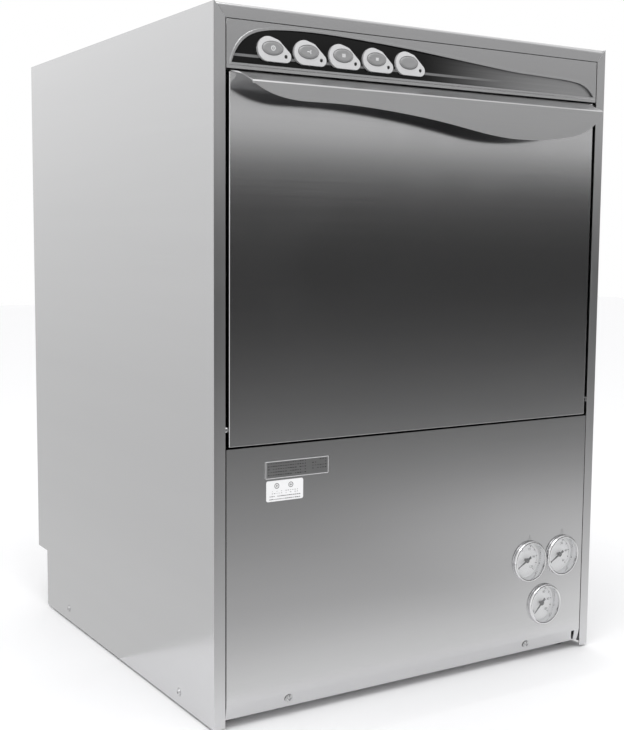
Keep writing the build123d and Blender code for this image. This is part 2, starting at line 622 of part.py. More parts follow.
def hinge_pins():
    """Two pins, each on a plate inside the outer skin."""
    pins = []
    for sign in (-1, 1):
        inner = DOOR_HALF - SHEET - SEAM
        plate = sorted((sign * inner, sign * (inner - PIN_PLATE[0])))
        pin = block(*plate, FRONT + SHEET + SEAM, FRONT + DOOR_FOLD - SEAM,
                    HINGE_Z - PIN_PLATE[1], HINGE_Z + PIN_PLATE[2])
        reach = HALF - SHEET - PIN_END - inner
        pin += rod("X", (min(sign * inner, sign * (inner + reach)), HINGE_Y, HINGE_Z), reach, PIN_R)
        pins.append(pin)
    return group(pins)


def hinge_brackets():
    """Two bored brackets behind the flanges."""
    brackets = []
    thick, below, above = BRACKET
    rear, foot_thick = BRACKET_BACK
    low, high = HINGE_Z - below, HINGE_Z + above
    for sign in (-1, 1):
        inner = OPENING + SHEET + SEAM
        ear = sorted((sign * inner, sign * (inner + thick)))
        bracket = block(*ear, FRONT + SHEET + SEAM, FRONT + rear, low, high)
        foot = sorted((sign * inner, sign * (HALF - SHEET - SEAM)))
        bracket += block(*foot, FRONT + rear - foot_thick, FRONT + rear, low, high)
        bracket -= rod("X", (sign * inner - THROUGH, HINGE_Y, HINGE_Z), 2 * THROUGH,
                       PIN_R + RUNNING)
        brackets.append(bracket)
    return group(brackets)


def door_springs():
    """Outer shape of the two torsion springs round the hinge pins."""
    springs = []
    for sign in (-1, 1):
        near = OPENING + SHEET + SEAM + BRACKET[0] + SPRING_GAP[0]
        far = HALF - SHEET - SPRING_GAP[1]
        start = min(sign * near, sign * far)
        spring = rod("X", (start, HINGE_Y + SPRING_OFF, HINGE_Z), far - near, SPRING_R[1])
        spring -= rod("X", (start - PAST, HINGE_Y, HINGE_Z), far - near + 2 * PAST, SPRING_R[0])
        springs.append(spring)
    return group(springs)


# --- wash chamber ------------------------------------------------------------------------------
def wash_tank():
    """Deep-drawn chamber with a flanged mouth, open to the sump."""
    wall = TANK_HALF + SHEET
    tank = block(-wall, wall, MOUTH, TANK_REAR + SHEET, TANK_FLOOR - SHEET, TANK_TOP + SHEET)
    tank += block(-wall - RETURN, wall + RETURN, MOUTH, MOUTH + SHEET,
                  TANK_FLOOR - MOUTH_FLANGE - MOUTH_LIP, TANK_TOP + MOUTH_FLANGE)
    tank -= block(-TANK_HALF, TANK_HALF, MOUTH - PAST, TANK_REAR, TANK_FLOOR, TANK_TOP)
    tank -= block(-SUMP_HALF, SUMP_HALF, ARM_Y - SUMP_DEEP, ARM_Y + SUMP_DEEP,
                  TANK_FLOOR - SHEET - PAST, TANK_FLOOR + PAST)
    return tank - rod("Z", (0, ARM_Y, TANK_TOP - THROUGH), 2 * THROUGH, PIPE_R + SEAM)


def tank_sump():
    """Sump with a flange welded under the tank's floor, with holes for pipes and heater."""
    top = TANK_FLOOR - SHEET
    half, deep = SUMP_HALF + SHEET, SUMP_DEEP + SHEET
    sump = block(-half, half, ARM_Y - deep, ARM_Y + deep, SUMP_FLOOR - SHEET, top)
    sump += block(-half - SUMP_FLANGE, half + SUMP_FLANGE, ARM_Y - deep - SUMP_FLANGE,
                  ARM_Y + deep + SUMP_FLANGE, top - SHEET, top)
    sump -= block(-SUMP_HALF, SUMP_HALF, ARM_Y - SUMP_DEEP, ARM_Y + SUMP_DEEP, SUMP_FLOOR,
                  top + PAST)
    for x, y, radius in ((0, ARM_Y, RISER_R + SEAM), (PIPE_X, PIPE_Y, DRAIN_R[1]),
                         (PUMP_X, ARM_Y - SUCTION_Y, SUCTION_R[1])):
        sump -= rod("Z", (x, y, SUMP_FLOOR - THROUGH), 2 * THROUGH, radius)
    for x in heater_rods():
        sump -= rod("Y", (x, ARM_Y + SUMP_DEEP - THROUGH, HEATER_Z), 2 * THROUGH, HEATER_R + SEAM)
    return sump


def door_gasket():
    """Seal on the flange round the mouth."""
    outer = TANK_HALF + GASKET_IN + GASKET_WIDTH
    inner = outer - GASKET_WIDTH
    low, high = TANK_FLOOR - GASKET_IN, TANK_TOP + GASKET_RISE
    ring = rectangle(-outer, outer, low - GASKET_WIDTH / 2, high + GASKET_WIDTH / 2)
    ring -= rectangle(-inner, inner, low, high)
    return front_plate(ring, FRONT + DOOR_THICK + SEAM, GASKET_THICK - SEAM)


def rack_rails():
    """Two angle rails for the dish rack."""
    rails = []
    front, rear = MOUTH + RAIL_ENDS[0], TANK_REAR - RAIL_ENDS[1]
    for sign in (-1, 1):
        wall = TANK_HALF - SEAM
        ledge = sorted((sign * wall, sign * (wall - RAIL_WIDTH)))
        web = sorted((sign * wall, sign * (wall - RAIL_SHEET)))
        rail = block(*ledge, front, rear, RAIL_Z, RAIL_Z + RAIL_SHEET)
        rail += block(*web, front, rear, RAIL_Z - RAIL_WIDTH + RAIL_HANG, RAIL_Z)
        rails.append(rail)
    return group(rails)


def scrap_screen():
    """Flat screen over the sump, with holes for the riser and the standpipe."""
    half = SUMP_HALF + SCREEN_LAP
    deep = SUMP_DEEP + SCREEN_LAP
    screen = block(-half, half, ARM_Y - deep, ARM_Y + deep, TANK_FLOOR, SCREEN_TOP)
    screen -= rod("Z", (0, ARM_Y, TANK_FLOOR - PAST), THROUGH, RISER_R + SCREEN_PLAY)
    return screen - rod("Z", (PIPE_X, PIPE_Y, TANK_FLOOR - PAST), THROUGH,
                        STANDPIPE_R[0] + SCREEN_PLAY)


def standpipe():
    """Overflow pipe that stands in the drain and lifts out."""
    top = SCREEN_TOP + STANDPIPE_RISE
    pipe = rod("Z", (PIPE_X, PIPE_Y, SUMP_FLOOR), top - SUMP_FLOOR, STANDPIPE_R[0])
    pipe -= rod("Z", (PIPE_X, PIPE_Y, SUMP_FLOOR - PAST), top, STANDPIPE_R[1])
    half, thick, deep = STANDPIPE_BAR
    return pipe + block(PIPE_X - half, PIPE_X + half, PIPE_Y - thick, PIPE_Y + thick, top - deep,
                        top)


def heater_rods():
    """Places of the two legs of the heating element."""
    leg = PUMP_X - SUCTION_R[0] - HEATER_IN[0]
    return (leg, leg - 2 * HEATER_BEND)


def tank_heater():
    """Bent heating element in the sump, on a flange behind its wall."""
    right, left = heater_rods()
    rear = ARM_Y + SUMP_DEEP + SHEET + SEAM
    front = ARM_Y - SUMP_DEEP + HEATER_IN[1]
    round_legs, thick = HEATER_PLATE
    element = block(left - round_legs, right + round_legs, rear, rear + thick,
                    HEATER_Z - round_legs, HEATER_Z + round_legs)
    for x in (left, right):
        element += rod("Y", (x, front, HEATER_Z), rear - front, HEATER_R)
    bend = Pos((left + right) / 2, front, HEATER_Z) * Torus(HEATER_BEND, HEATER_R)
    bend &= block(left - round_legs, right + round_legs, front - 2 * HEATER_BEND, front,
                  HEATER_Z - round_legs, HEATER_Z + round_legs)
    return element + bend


# --- spray arms and wash pump ------------------------------------------------------------------
def arm_levels(shoulder, up):
    """Lower faces of the wash hub, the rinse hub and the cap, outward from a shoulder."""
    wash = ARM_PLAY
    rinse = wash + ARM_HUB[1] + ARM_PLAY
    cap = rinse + RINSE_HUB[1] + ARM_PLAY
    if up:
        return (shoulder + wash, shoulder + rinse, shoulder + cap)
    return (shoulder - wash - ARM_HUB[1], shoulder - rinse - RINSE_HUB[1],
            shoulder - cap - CAP[1])


def spray_hub(shoulder, up):
    """Stepped spigot and cap that carry one wash arm and one rinse arm."""
    wash = ARM_HUB[1] + 2 * ARM_PLAY
    rinse = wash + RINSE_HUB[1] + ARM_PLAY
    if up:
        hub = rod("Z", (0, ARM_Y, shoulder), wash, SPIGOT_R[0])
        hub += rod("Z", (0, ARM_Y, shoulder), rinse, SPIGOT_R[1])
        return hub + rod("Z", (0, ARM_Y, shoulder + rinse), CAP[1], CAP[0])
    hub = rod("Z", (0, ARM_Y, shoulder - wash), wash, SPIGOT_R[0])
    hub += rod("Z", (0, ARM_Y, shoulder - rinse), rinse, SPIGOT_R[1])
    return hub + rod("Z", (0, ARM_Y, shoulder - rinse - CAP[1]), CAP[1], CAP[0])


def lower_manifold():
    """Riser from the pump to the lower arms, with a branch to the rear."""
    level = OUTLET_Z + PIPE_R + BRANCH_UP
    pipe = rod("Z", (0, ARM_Y, OUTLET_Z), ARM_LOW - OUTLET_Z, RISER_R)
    pipe += rod("Y", (0, ARM_Y, level), BRANCH, PIPE_R)
    pipe += spray_hub(ARM_LOW, True)
    pipe -= rod("Z", (0, ARM_Y, OUTLET_Z - PAST), ARM_LOW - OUTLET_Z - PIPE_WALL + PAST,
                RISER_R - PIPE_WALL)
    pipe -= rod("Z", (0, ARM_Y, ARM_LOW - PIPE_WALL - PAST), ARM_HUB[1] + RINSE_HUB[1], HUB_BORE)
    return pipe - rod("Y", (0, ARM_Y, level), BRANCH + PAST, PIPE_R - PIPE_WALL)


def upper_manifold():
    """Pipe from the branch, up behind the tank and over its roof to the upper arms."""
    level = OUTLET_Z + PIPE_R + BRANCH_UP
    rear = (TANK_REAR + BACK) / 2
    over = TANK_TOP + SHEET + PIPE_R + ROOF_CLEAR
    bore_end = ARM_HIGH - ARM_HUB[1] - RINSE_HUB[1]
    route = [(0, ARM_Y + BRANCH, level), (0, rear, level), (0, rear, over), (0, ARM_Y, over),
             (0, ARM_Y, ARM_HIGH)]
    pipe = bent_pipe(route, PIPE_BEND, PIPE_R) + spray_hub(ARM_HIGH, False)
    route[-1] = (0, ARM_Y, ARM_HIGH + PIPE_WALL)
    pipe -= bent_pipe(route, PIPE_BEND, PIPE_R - PIPE_WALL)
    return pipe - rod("Z", (0, ARM_Y, bore_end), ARM_HIGH + PIPE_WALL + PAST - bore_end,
                      HUB_BORE)


def wash_arm(level):
    """Flat rotating arm with a round hub."""
    reach = min(TANK_HALF, (TANK_REAR - MOUTH) / 2) - ARM_CLEAR
    middle = level + (ARM_HUB[1] - ARM_THICK) / 2
    arm = Pos(0, ARM_Y, middle) * extrude(SlotOverall(2 * reach, ARM_WIDTH), amount=ARM_THICK)
    arm += rod("Z", (0, ARM_Y, level), ARM_HUB[1], ARM_HUB[0])
    return arm - rod("Z", (0, ARM_Y, level - PAST), ARM_HUB[1] + 2 * PAST, SPIGOT_R[0] + RUNNING)


def rinse_arm(level):
    """Round rotating tube with a hub."""
    reach = min(TANK_HALF, (TANK_REAR - MOUTH) / 2) - RINSE_CLEAR
    arm = rod("X", (-reach, ARM_Y, level + RINSE_HUB[1] / 2), 2 * reach, RINSE_R)
    arm += rod("Z", (0, ARM_Y, level), RINSE_HUB[1], RINSE_HUB[0])
    return arm - rod("Z", (0, ARM_Y, level - PAST), RINSE_HUB[1] + 2 * PAST,
                     SPIGOT_R[1] + RUNNING)


def wash_pump_casing():
    """Volute with its suction bend from the sump and its outlet under the riser."""
    front, rear = ARM_Y - PUMP_WIDE / 2, ARM_Y + PUMP_WIDE / 2
    under = SUMP_FLOOR - SHEET
    suction = ARM_Y - SUCTION_Y
    body = rod("Y", (PUMP_X, front, PUMP_Z), PUMP_WIDE, PUMP_R[0])
    body += rod("Z", (0, ARM_Y, PUMP_Z), OUTLET_Z - PUMP_Z, OUTLET_R[0])
    route = [(PUMP_X, suction, under), (PUMP_X, suction, PUMP_Z),
             (PUMP_X, front + PUMP_WALL, PUMP_Z)]
    body += bent_pipe(route, SUCTION_BEND, SUCTION_R[0])
    body += block(PUMP_X - PUMP_FOOT[0], PUMP_X + PUMP_FOOT[0], front, front + PUMP_FOOT[1],
                  PAN_TOP, PUMP_Z)
    body -= rod("Y", (PUMP_X, front + PUMP_WALL, PUMP_Z), PUMP_WIDE - 2 * PUMP_WALL, PUMP_R[1])
    body -= rod("Z", (0, ARM_Y, PUMP_Z), OUTLET_Z, OUTLET_R[1])
    body -= bent_pipe(route, SUCTION_BEND, SUCTION_R[1])
    return body - rod("Y", (PUMP_X, rear - PUMP_WALL - PAST, PUMP_Z),
                      PUMP_WALL + 2 * PAST, SHAFT_R + RUNNING)


def pump_impeller():
    """Disc with vanes on the motor's shaft."""
    count, half, tip, start = VANE
    thick, clear = IMPELLER_DISC
    front = ARM_Y - PUMP_WIDE / 2 + PUMP_WALL + start
    rear = ARM_Y + PUMP_WIDE / 2
    face = rear - PUMP_WALL - clear - thick
    disc = rod("Y", (PUMP_X, face, PUMP_Z), thick, IMPELLER_R)
    disc += rod("Y", (PUMP_X, front, PUMP_Z), rear + SHAFT_IN - front, SHAFT_R)
    vane = block(SHAFT_R - PAST, IMPELLER_R - tip, front, face + thick / 2, -half, half)
    for i in range(count):
        disc += Pos(PUMP_X, 0, PUMP_Z) * Rot(0, 360 / count * i, 0) * vane
    return disc


def wash_pump_motor():
    """Motor behind the pump on two cradle plates, bored for the shaft."""
    rear = ARM_Y + PUMP_WIDE / 2
    radius, long = MOTOR
    half, thick = MOTOR_CRADLE
    motor = rod("Y", (PUMP_X, rear, PUMP_Z), long, radius)
    for y in (rear + MOTOR_CRADLE_IN, rear + long - MOTOR_CRADLE_IN - thick):
        motor += block(PUMP_X - half, PUMP_X + half, y, y + thick, PAN_TOP, PUMP_Z)
    return motor - rod("Y", (PUMP_X, rear - PAST, PUMP_Z), SHAFT_IN + SHAFT_END + PAST,
                       SHAFT_R + RUNNING)


# --- services ----------------------------------------------------------------------------------
def rinse_boiler():
    """Hollow booster heater with two ports, on a ring foot."""
    x = HALF - SHEET - BOILER_CLEAR - BOILER_R
    y = RECESS_Y - SHEET - BOILER_CLEAR - BOILER_R
    low, high = BOILER_Z
    inner = BOILER_R - BOILER_WALL
    outside, bore, tall = BOILER_PORT
    drum = fillet(rod("Z", (x, y, low), high - low, BOILER_R).edges(), BOILER_BEND)
    drum += rod("Z", (x, y, PAN_TOP), low - PAN_TOP + BOILER_BEND + BOILER_WALL, BOILER_STAND)
    drum -= rod("Z", (x, y, PAN_TOP - PAST), low - PAN_TOP + PAST, BOILER_STAND - BOILER_WALL)
    for side in (-1, 1):
        drum += rod("Z", (x + side * BOILER_R / 2, y, high - BOILER_BEND), BOILER_BEND + tall, outside)
    hollow = rod("Z", (x, y, low + BOILER_WALL), high - low - 2 * BOILER_WALL, inner)
    drum -= fillet(hollow.edges(), BOILER_BEND - BOILER_WALL)
    for side in (-1, 1):
        drum -= rod("Z", (x + side * BOILER_R / 2, y, high - BOILER_BEND), HEIGHT, bore)
    return drum


def drain_pipe():
    """Drain from the sump to a hose spigot with a collar in the recess."""
    end = RECESS_Y + DRAIN_OUT
    top = SUMP_FLOOR - SHEET
    route = [(PIPE_X, PIPE_Y, top), (PIPE_X, PIPE_Y, DRAIN_Z), (PIPE_X, end, DRAIN_Z)]
    pipe = bent_pipe(route, DRAIN_BEND, DRAIN_R[0])
    pipe += rod("Y", (PIPE_X, RECESS_Y + SEAM, DRAIN_Z), PORT_NUT, DRAIN_COLLAR)
    return pipe - bent_pipe(route, DRAIN_BEND, DRAIN_R[1])


def fill_valve():
    """Solenoid valve on the water inlet."""
    half, front, rear, rise = VALVE_BODY
    top = VALVE_Z + rise
    body = block(-VALVE_X - half, -VALVE_X + half, RECESS_Y - front, RECESS_Y - rear, PAN_TOP, top)
    middle = RECESS_Y - (front + rear) / 2
    return body + rod("Z", (-VALVE_X, middle, top), VALVE_COIL[1], VALVE_COIL[0])


def water_inlet():
    """Threaded inlet stub with a hexagon inside the recess sheet and a nut outside it."""
    start = VALVE_BODY[2]
    stub = rod("Y", (-VALVE_X, RECESS_Y - start, VALVE_Z), start + INLET_OUT, INLET_R)
    hexagon = Pos(-VALVE_X, VALVE_Z) * RegularPolygon(INLET_HEX, 6)
    stub += front_plate(hexagon, RECESS_Y - SHEET - SEAM - INLET_HEX_IN, INLET_HEX_IN)
    return stub + front_plate(hexagon, RECESS_Y + SEAM, PORT_NUT)


def cable_gland():
    """Gland for the supply cord, bored through."""
    start = RECESS_Y - GLAND_IN
    gland = rod("Y", (-GLAND_X, start, GLAND_Z), GLAND_IN + GLAND_OUT, GLAND_R[0])
    nut = Pos(-GLAND_X, GLAND_Z) * RegularPolygon(GLAND_R[1], 6)
    outside, inside = GLAND_NUTS
    gland += front_plate(nut, RECESS_Y + SEAM, outside)
    gland += front_plate(nut, RECESS_Y - SHEET - SEAM - inside, inside)
    return gland - rod("Y", (-GLAND_X, start - PAST, GLAND_Z), GLAND_IN + GLAND_OUT + 2 * PAST,
                       GLAND_BORE)


def doser_housing():
    """Housing of the peristaltic chemical pump, on a foot."""
    x, y = -HALF + DOSER_X, FRONT + DOSER_Y
    wide, deep, tall = DOSER
    body = block(x - wide / 2, x + wide / 2, y, y + deep, DOSER_Z - tall / 2, DOSER_Z + tall / 2)
    half, thick = DOSER_FOOT
    radius, cavity = DOSER_CAVITY
    body += block(x - half, x + half, y + deep - thick, y + deep, PAN_TOP, DOSER_Z)
    body -= rod("Y", (x, y - PAST, DOSER_Z), cavity + PAST, radius)
    bore = ROTOR[0] + ROTOR_SHAFT[1] + 2 * PAST
    return body - rod("Y", (x, y, DOSER_Z), bore, ROTOR_SHAFT[0] + RUNNING)


def doser_rotor():
    """Rotor with its rollers on its shaft."""
    x, y = -HALF + DOSER_X, FRONT + DOSER_Y + ROTOR[0]
    rotor = rod("Y", (x, y, DOSER_Z), ROTOR[2], ROTOR[1])
    rotor += rod("Y", (x, y, DOSER_Z), ROTOR_SHAFT[1], ROTOR_SHAFT[0])
    count, out, radius, long = ROLLERS
    back, half, arm_long = ROLLER_ARM
    for i in range(count):
        arm = block(0, out, y + back, y + back + arm_long, -half, half)
        arm += rod("Y", (out, y + back / 2, 0), long, radius)
        rotor += Pos(x, 0, DOSER_Z) * Rot(0, 360 / count * i + ROTOR_START, 0) * arm
    return rotor


# --- gauges, plates, screws, feet --------------------------------------------------------------
def gauge_cases():
    """Three gauge cases with their bezels, through the lower panel."""
    cases = []
    for x, z in GAUGE_PLACES:
        place = HALF - x
        case = rod("Y", (place, FRONT, z), GAUGE_DEEP, GAUGE_BODY)
        bezel = rod("Y", (place, FRONT - GAUGE_PROUD, z), GAUGE_PROUD, GAUGE_BEZEL)
        case += fillet(bezel.edges().sort_by(Axis.Y)[0], GAUGE_ROUND)
        case -= rod("Y", (place, FRONT - GAUGE_PROUD - PAST, z), GAUGE_PROUD + GAUGE_CUP + PAST,
                    GAUGE_FACE)
        bore = NEEDLE_BLADE[0] + NEEDLE_DEEP + 2 * PAST
        case -= rod("Y", (place, FRONT, z), bore, NEEDLE_SHAFT + RUNNING)
        cases.append(case)
    return group(cases)


def gauge_dials():
    """Three dial discs."""
    dials = []
    for x, z in GAUGE_PLACES:
        dial = rod("Y", (HALF - x, FRONT + DIAL[0], z), DIAL[1], GAUGE_FACE - SEAM)
        dials.append(dial - rod("Y", (HALF - x, FRONT, z), GAUGE_CUP, NEEDLE_SHAFT + RUNNING))
    return group(dials)


def gauge_lenses():
    """Three glass discs."""
    return group([rod("Y", (HALF - x, FRONT - GAUGE_PROUD + LENS[0], z), LENS[1],
                      GAUGE_FACE - SEAM)
                  for x, z in GAUGE_PLACES])


def gauge_needle(i):
    """Tapered needle with a tail, a hub and its shaft."""
    x, z = GAUGE_PLACES[i]
    tip, hub, tail = NEEDLE_HALF
    outline = [(NEEDLE_LONG, tip), (0, hub), (-NEEDLE_TAIL, tail), (-NEEDLE_TAIL, -tail),
               (0, -hub), (NEEDLE_LONG, -tip)]
    start, thick = NEEDLE_BLADE
    blade = front_plate(make_face(Polyline(*outline, close=True)), FRONT + start, thick)
    blade += rod("Y", (0, FRONT + NEEDLE_HUB[0], 0), NEEDLE_HUB[1], NEEDLE_HUB[2])
    blade += rod("Y", (0, FRONT + start, 0), NEEDLE_DEEP, NEEDLE_SHAFT)
    return Pos(HALF - x, 0, z) * Rot(0, -GAUGE_AIM[i], 0) * blade


def flat_plate(x0, x1, z0, z1, thickness):
    """A thin plate on the lower panel, with rounded corners."""
    shape = Pos((x0 + x1) / 2 - HALF, (z0 + z1) / 2) * RectangleRounded(x1 - x0, z1 - z0, PLATE_CORNER)
    return front_plate(shape, FRONT - thickness, thickness)


def panel_screws():
    """All the panel screws: front lip, both sides and the back."""
    head, thick = SCREW_HEAD
    screws = []
    for x in FRONT_SCREWS:
        y = FRONT + SCREW_SEAT
        screw = rod("Y", (x - HALF, y - thick, FRONT_SCREW_Z), thick, head)
        screws.append(screw + rod("Y", (x - HALF, y, FRONT_SCREW_Z), SCREW_LONG, SCREW_R))
    for y, z in SIDE_SCREWS:
        screws.append(rod("X", (-HALF - thick, FRONT + y, z), thick, head)
                      + rod("X", (-HALF, FRONT + y, z), SCREW_LONG, SCREW_R))
        screws.append(rod("X", (HALF, FRONT + y, z), thick, head)
                      + rod("X", (HALF - SCREW_LONG, FRONT + y, z), SCREW_LONG, SCREW_R))
    for sign in (-1, 1):
        for z in BACK_SCREW_Z:
            x = sign * (HALF - REAR_FLANGE / 2)
            screws.append(rod("Y", (x, BACK, z), thick, head)
                          + rod("Y", (x, BACK - SCREW_LONG, z), SCREW_LONG, SCREW_R))
    return group(screws)


def foot(x, y):
    """Levelling foot: pad and threaded stud."""
    pad = fillet(rod("Z", (x, y, 0), FOOT_PAD[1], FOOT_PAD[0]).edges().sort_by(Axis.Z)[-1], FOOT_EDGE)
    return pad + rod("Z", (x, y, 0), FOOT_LONG, FOOT_STUD)


# --- all nodes ---------------------------------------------------------------------------------
os.makedirs("parts", exist_ok=True)

save("side_panel_left", side_panel(-1))
save("side_panel_right", side_panel(1))
save("top_cover", top_cover())
save("back_panel", back_panel())
save("recess_shelf", recess_shelf())
save("service_panel", service_panel())
save("base_pan", base_pan())
save("lower_front_panel", lower_front_panel())
save("control_fascia", control_fascia())
save("control_overlay", control_overlay())
save("key_bezels", key_bezels())
save("key_lamps", key_lamps())
save("control_board", control_board())
for number in range(KEY_COUNT):
    save(f"key_{number + 1}", key(number))

save("door_outer_skin", door_outer_skin())
save("door_inner_skin", door_inner_skin())
save("door_handle", door_handle())
save("hinge_pins", hinge_pins())
save("hinge_brackets", hinge_brackets())
save("door_springs", door_springs())

save("wash_tank", wash_tank())
save("tank_sump", tank_sump())
save("door_gasket", door_gasket())
save("rack_rails", rack_rails())
save("scrap_screen", scrap_screen())
save("overflow_standpipe", standpipe())
save("tank_heater", tank_heater())

lower_levels = arm_levels(ARM_LOW, True)
upper_levels = arm_levels(ARM_HIGH, False)
save("lower_manifold", lower_manifold())
save("upper_manifold", upper_manifold())
save("lower_wash_arm", wash_arm(lower_levels[0]))
save("upper_wash_arm", wash_arm(upper_levels[0]))
save("lower_rinse_arm", rinse_arm(lower_levels[1]))
save("upper_rinse_arm", rinse_arm(upper_levels[1]))
save("wash_pump_casing", wash_pump_casing())
save("pump_impeller", pump_impeller())
save("wash_pump_motor", wash_pump_motor())

save("rinse_boiler", rinse_boiler())
save("drain_pipe", drain_pipe())
save("fill_valve", fill_valve())
save("water_inlet", water_inlet())
save("cable_gland", cable_gland())
save("doser_housing", doser_housing())
save("doser_rotor", doser_rotor())

save("gauge_cases", gauge_cases())
save("gauge_dials", gauge_dials())
save("gauge_lenses", gauge_lenses())
for number in range(len(GAUGE_PLACES)):
    save(f"gauge_needle_{number + 1}", gauge_needle(number))
save("rating_plate", flat_plate(*PLATE))
save("instruction_label", flat_plate(*LABEL))
save("panel_screws", panel_screws())
for number, (foot_x, foot_y) in enumerate(FEET):
    save(f"foot_{number + 1}", foot(foot_x, foot_y))
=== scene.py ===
# %% [markdown]
# # An undercounter commercial dishwasher
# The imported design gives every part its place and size. This lesson dresses it: stainless sheet,
# push keys, round gauges, spray arms and the hidden machinery, each with its own finish.
# Everything is in metres: X to the right seen from the front, Y to the back, Z up.

import json
import math

import bmesh
import bpy
from mathutils import Matrix, Vector


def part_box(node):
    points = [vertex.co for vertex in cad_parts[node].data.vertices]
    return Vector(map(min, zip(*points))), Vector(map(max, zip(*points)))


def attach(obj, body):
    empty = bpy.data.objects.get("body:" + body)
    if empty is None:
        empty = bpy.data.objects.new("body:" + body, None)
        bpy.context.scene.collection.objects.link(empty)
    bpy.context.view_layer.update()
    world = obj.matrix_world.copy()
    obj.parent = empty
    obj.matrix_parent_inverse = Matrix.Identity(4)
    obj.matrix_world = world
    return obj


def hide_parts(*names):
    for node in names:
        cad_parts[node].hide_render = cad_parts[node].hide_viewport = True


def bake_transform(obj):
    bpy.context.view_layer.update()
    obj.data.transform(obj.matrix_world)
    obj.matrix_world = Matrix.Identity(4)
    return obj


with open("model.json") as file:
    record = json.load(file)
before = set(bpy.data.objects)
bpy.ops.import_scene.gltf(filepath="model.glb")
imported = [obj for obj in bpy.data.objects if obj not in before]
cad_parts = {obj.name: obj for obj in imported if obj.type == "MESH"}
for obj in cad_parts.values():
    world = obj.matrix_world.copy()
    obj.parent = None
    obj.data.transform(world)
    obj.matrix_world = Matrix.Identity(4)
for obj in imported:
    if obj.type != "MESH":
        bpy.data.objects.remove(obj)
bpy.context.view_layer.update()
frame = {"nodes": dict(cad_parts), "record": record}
NODES = frame["nodes"]
BODY_OF = {node: body for body, nodes in frame["record"]["behaviour"]["bodies"].items()
           for node in nodes}
SLOT_OF = {entry["node"]: entry["material_slot"] for entry in frame["record"]["subparts"]}
MM = 0.001

# %% [markdown]
# ## The camera
# A long lens from the front left, a little above the middle of the machine, keeps the uprights
# nearly parallel. The place, the angles and the focal length are the whole camera.

# %% Camera
CAMERA_PLACE = Vector((-0.9262, -1.5032, 0.5819))
CAMERA_YAW = math.radians(31.98)
CAMERA_PITCH = math.radians(5.89)
CAMERA_ROLL = math.radians(0.44)
CAMERA_LENS = 58.29


def make_camera():
    """A camera turned to the right by the yaw, down by the pitch and rolled a little."""
    forward = Vector((math.sin(CAMERA_YAW) * math.cos(CAMERA_PITCH),
                      math.cos(CAMERA_YAW) * math.cos(CAMERA_PITCH), -math.sin(CAMERA_PITCH)))
    level = Vector((math.cos(CAMERA_YAW), -math.sin(CAMERA_YAW), 0))
    upright = level.cross(forward)
    right = math.cos(CAMERA_ROLL) * level + math.sin(CAMERA_ROLL) * upright
    up = -math.sin(CAMERA_ROLL) * level + math.cos(CAMERA_ROLL) * upright
    data = bpy.data.cameras.new("camera")
    data.lens = CAMERA_LENS
    camera = bpy.data.objects.new("camera", data)
    bpy.context.scene.collection.objects.link(camera)
    turn = Matrix((right, up, -forward)).transposed()
    camera.matrix_world = Matrix.Translation(CAMERA_PLACE) @ turn.to_4x4()
    bpy.context.scene.camera = camera
    return camera


camera = make_camera()
print("camera at", [round(v, 3) for v in camera.location], "lens", camera.data.lens)

# %% [markdown]
# ## Small helpers
# A finished piece is a plain mesh at the origin. `from_bmesh` makes one, and `settle` gives it
# the slot, the finish and the body of the CAD part that it stands in for or sits on.

# %% Mesh helpers
def link(obj):
    """Put an object in the scene."""
    bpy.context.scene.collection.objects.link(obj)
    return obj


def from_bmesh(name, bm, smooth=True):
    """A mesh object from a bmesh, shaded smooth or flat."""
    mesh = bpy.data.meshes.new(name)
    bm.to_mesh(mesh)
    bm.free()
    for polygon in mesh.polygons:
        polygon.use_smooth = smooth
    return link(bpy.data.objects.new(name, mesh))


def settle(obj, node, slot=None, stands_in=False, material=None):
    """Dress a finished piece like its CAD part; one with several finishes keeps its own."""
    slot = slot or SLOT_OF[node]
    if len({finish for finish in obj.data.materials if finish}) < 2:
        obj.data.materials.clear()
        obj.data.materials.append(material or M[slot])
    if stands_in:
        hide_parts(node)
    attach(obj, BODY_OF[node])
    print(f"{obj.name}: {len(obj.data.polygons)} faces on {BODY_OF[node]}")
    return obj

# %% [markdown]
# ## Shader node tools
# A node group is a small recipe with named inputs and outputs. Each is built once and placed in
# many materials. These helpers add a node, join sockets, open a group, place it and do sums.

# %% Shader helpers
def add(tree, kind, **settings):
    """A node of one kind, with its settings; a key that names an input sets that input."""
    node = tree.nodes.new(kind)
    for key, value in settings.items():
        if hasattr(node, key):
            setattr(node, key, value)
        else:
            node.inputs[key.replace("_", " ")].default_value = value
    return node


def join(tree, source, output, target, socket):
    """Join an output to an input."""
    tree.links.new(source.outputs[output], target.inputs[socket])


def new_group(name, inputs, outputs):
    """An empty shader group with named sockets, its input node and its output node."""
    tree = bpy.data.node_groups.new(name, "ShaderNodeTree")
    for label, kind, value in inputs:
        socket = tree.interface.new_socket(label, in_out="INPUT", socket_type=kind)
        if value is not None:
            socket.default_value = value
    for label, kind in outputs:
        tree.interface.new_socket(label, in_out="OUTPUT", socket_type=kind)
    return tree, tree.nodes.new("NodeGroupInput"), tree.nodes.new("NodeGroupOutput")


def place(tree, group, **values):
    """A placed group with its own values."""
    node = tree.nodes.new("ShaderNodeGroup")
    node.node_tree = group
    for key, value in values.items():
        node.inputs[key.replace("_", " ")].default_value = value
    return node


def math_node(tree, operation, first, second):
    """A math node; each side is a number or an output socket."""
    node = add(tree, "ShaderNodeMath", operation=operation)
    for i, value in enumerate((first, second)):
        if isinstance(value, (int, float)):
            node.inputs[i].default_value = value
        else:
            tree.links.new(value, node.inputs[i])
    return node.outputs[0]

# %% [markdown]
# ## Brushed grain
# Stainless sheet is finished on a belt, which leaves fine parallel scratches. Noise that is
# squeezed hard across the belt's direction looks like that. Two noises are mixed: one fine,
# one with broader bands, because a belt never wears evenly.

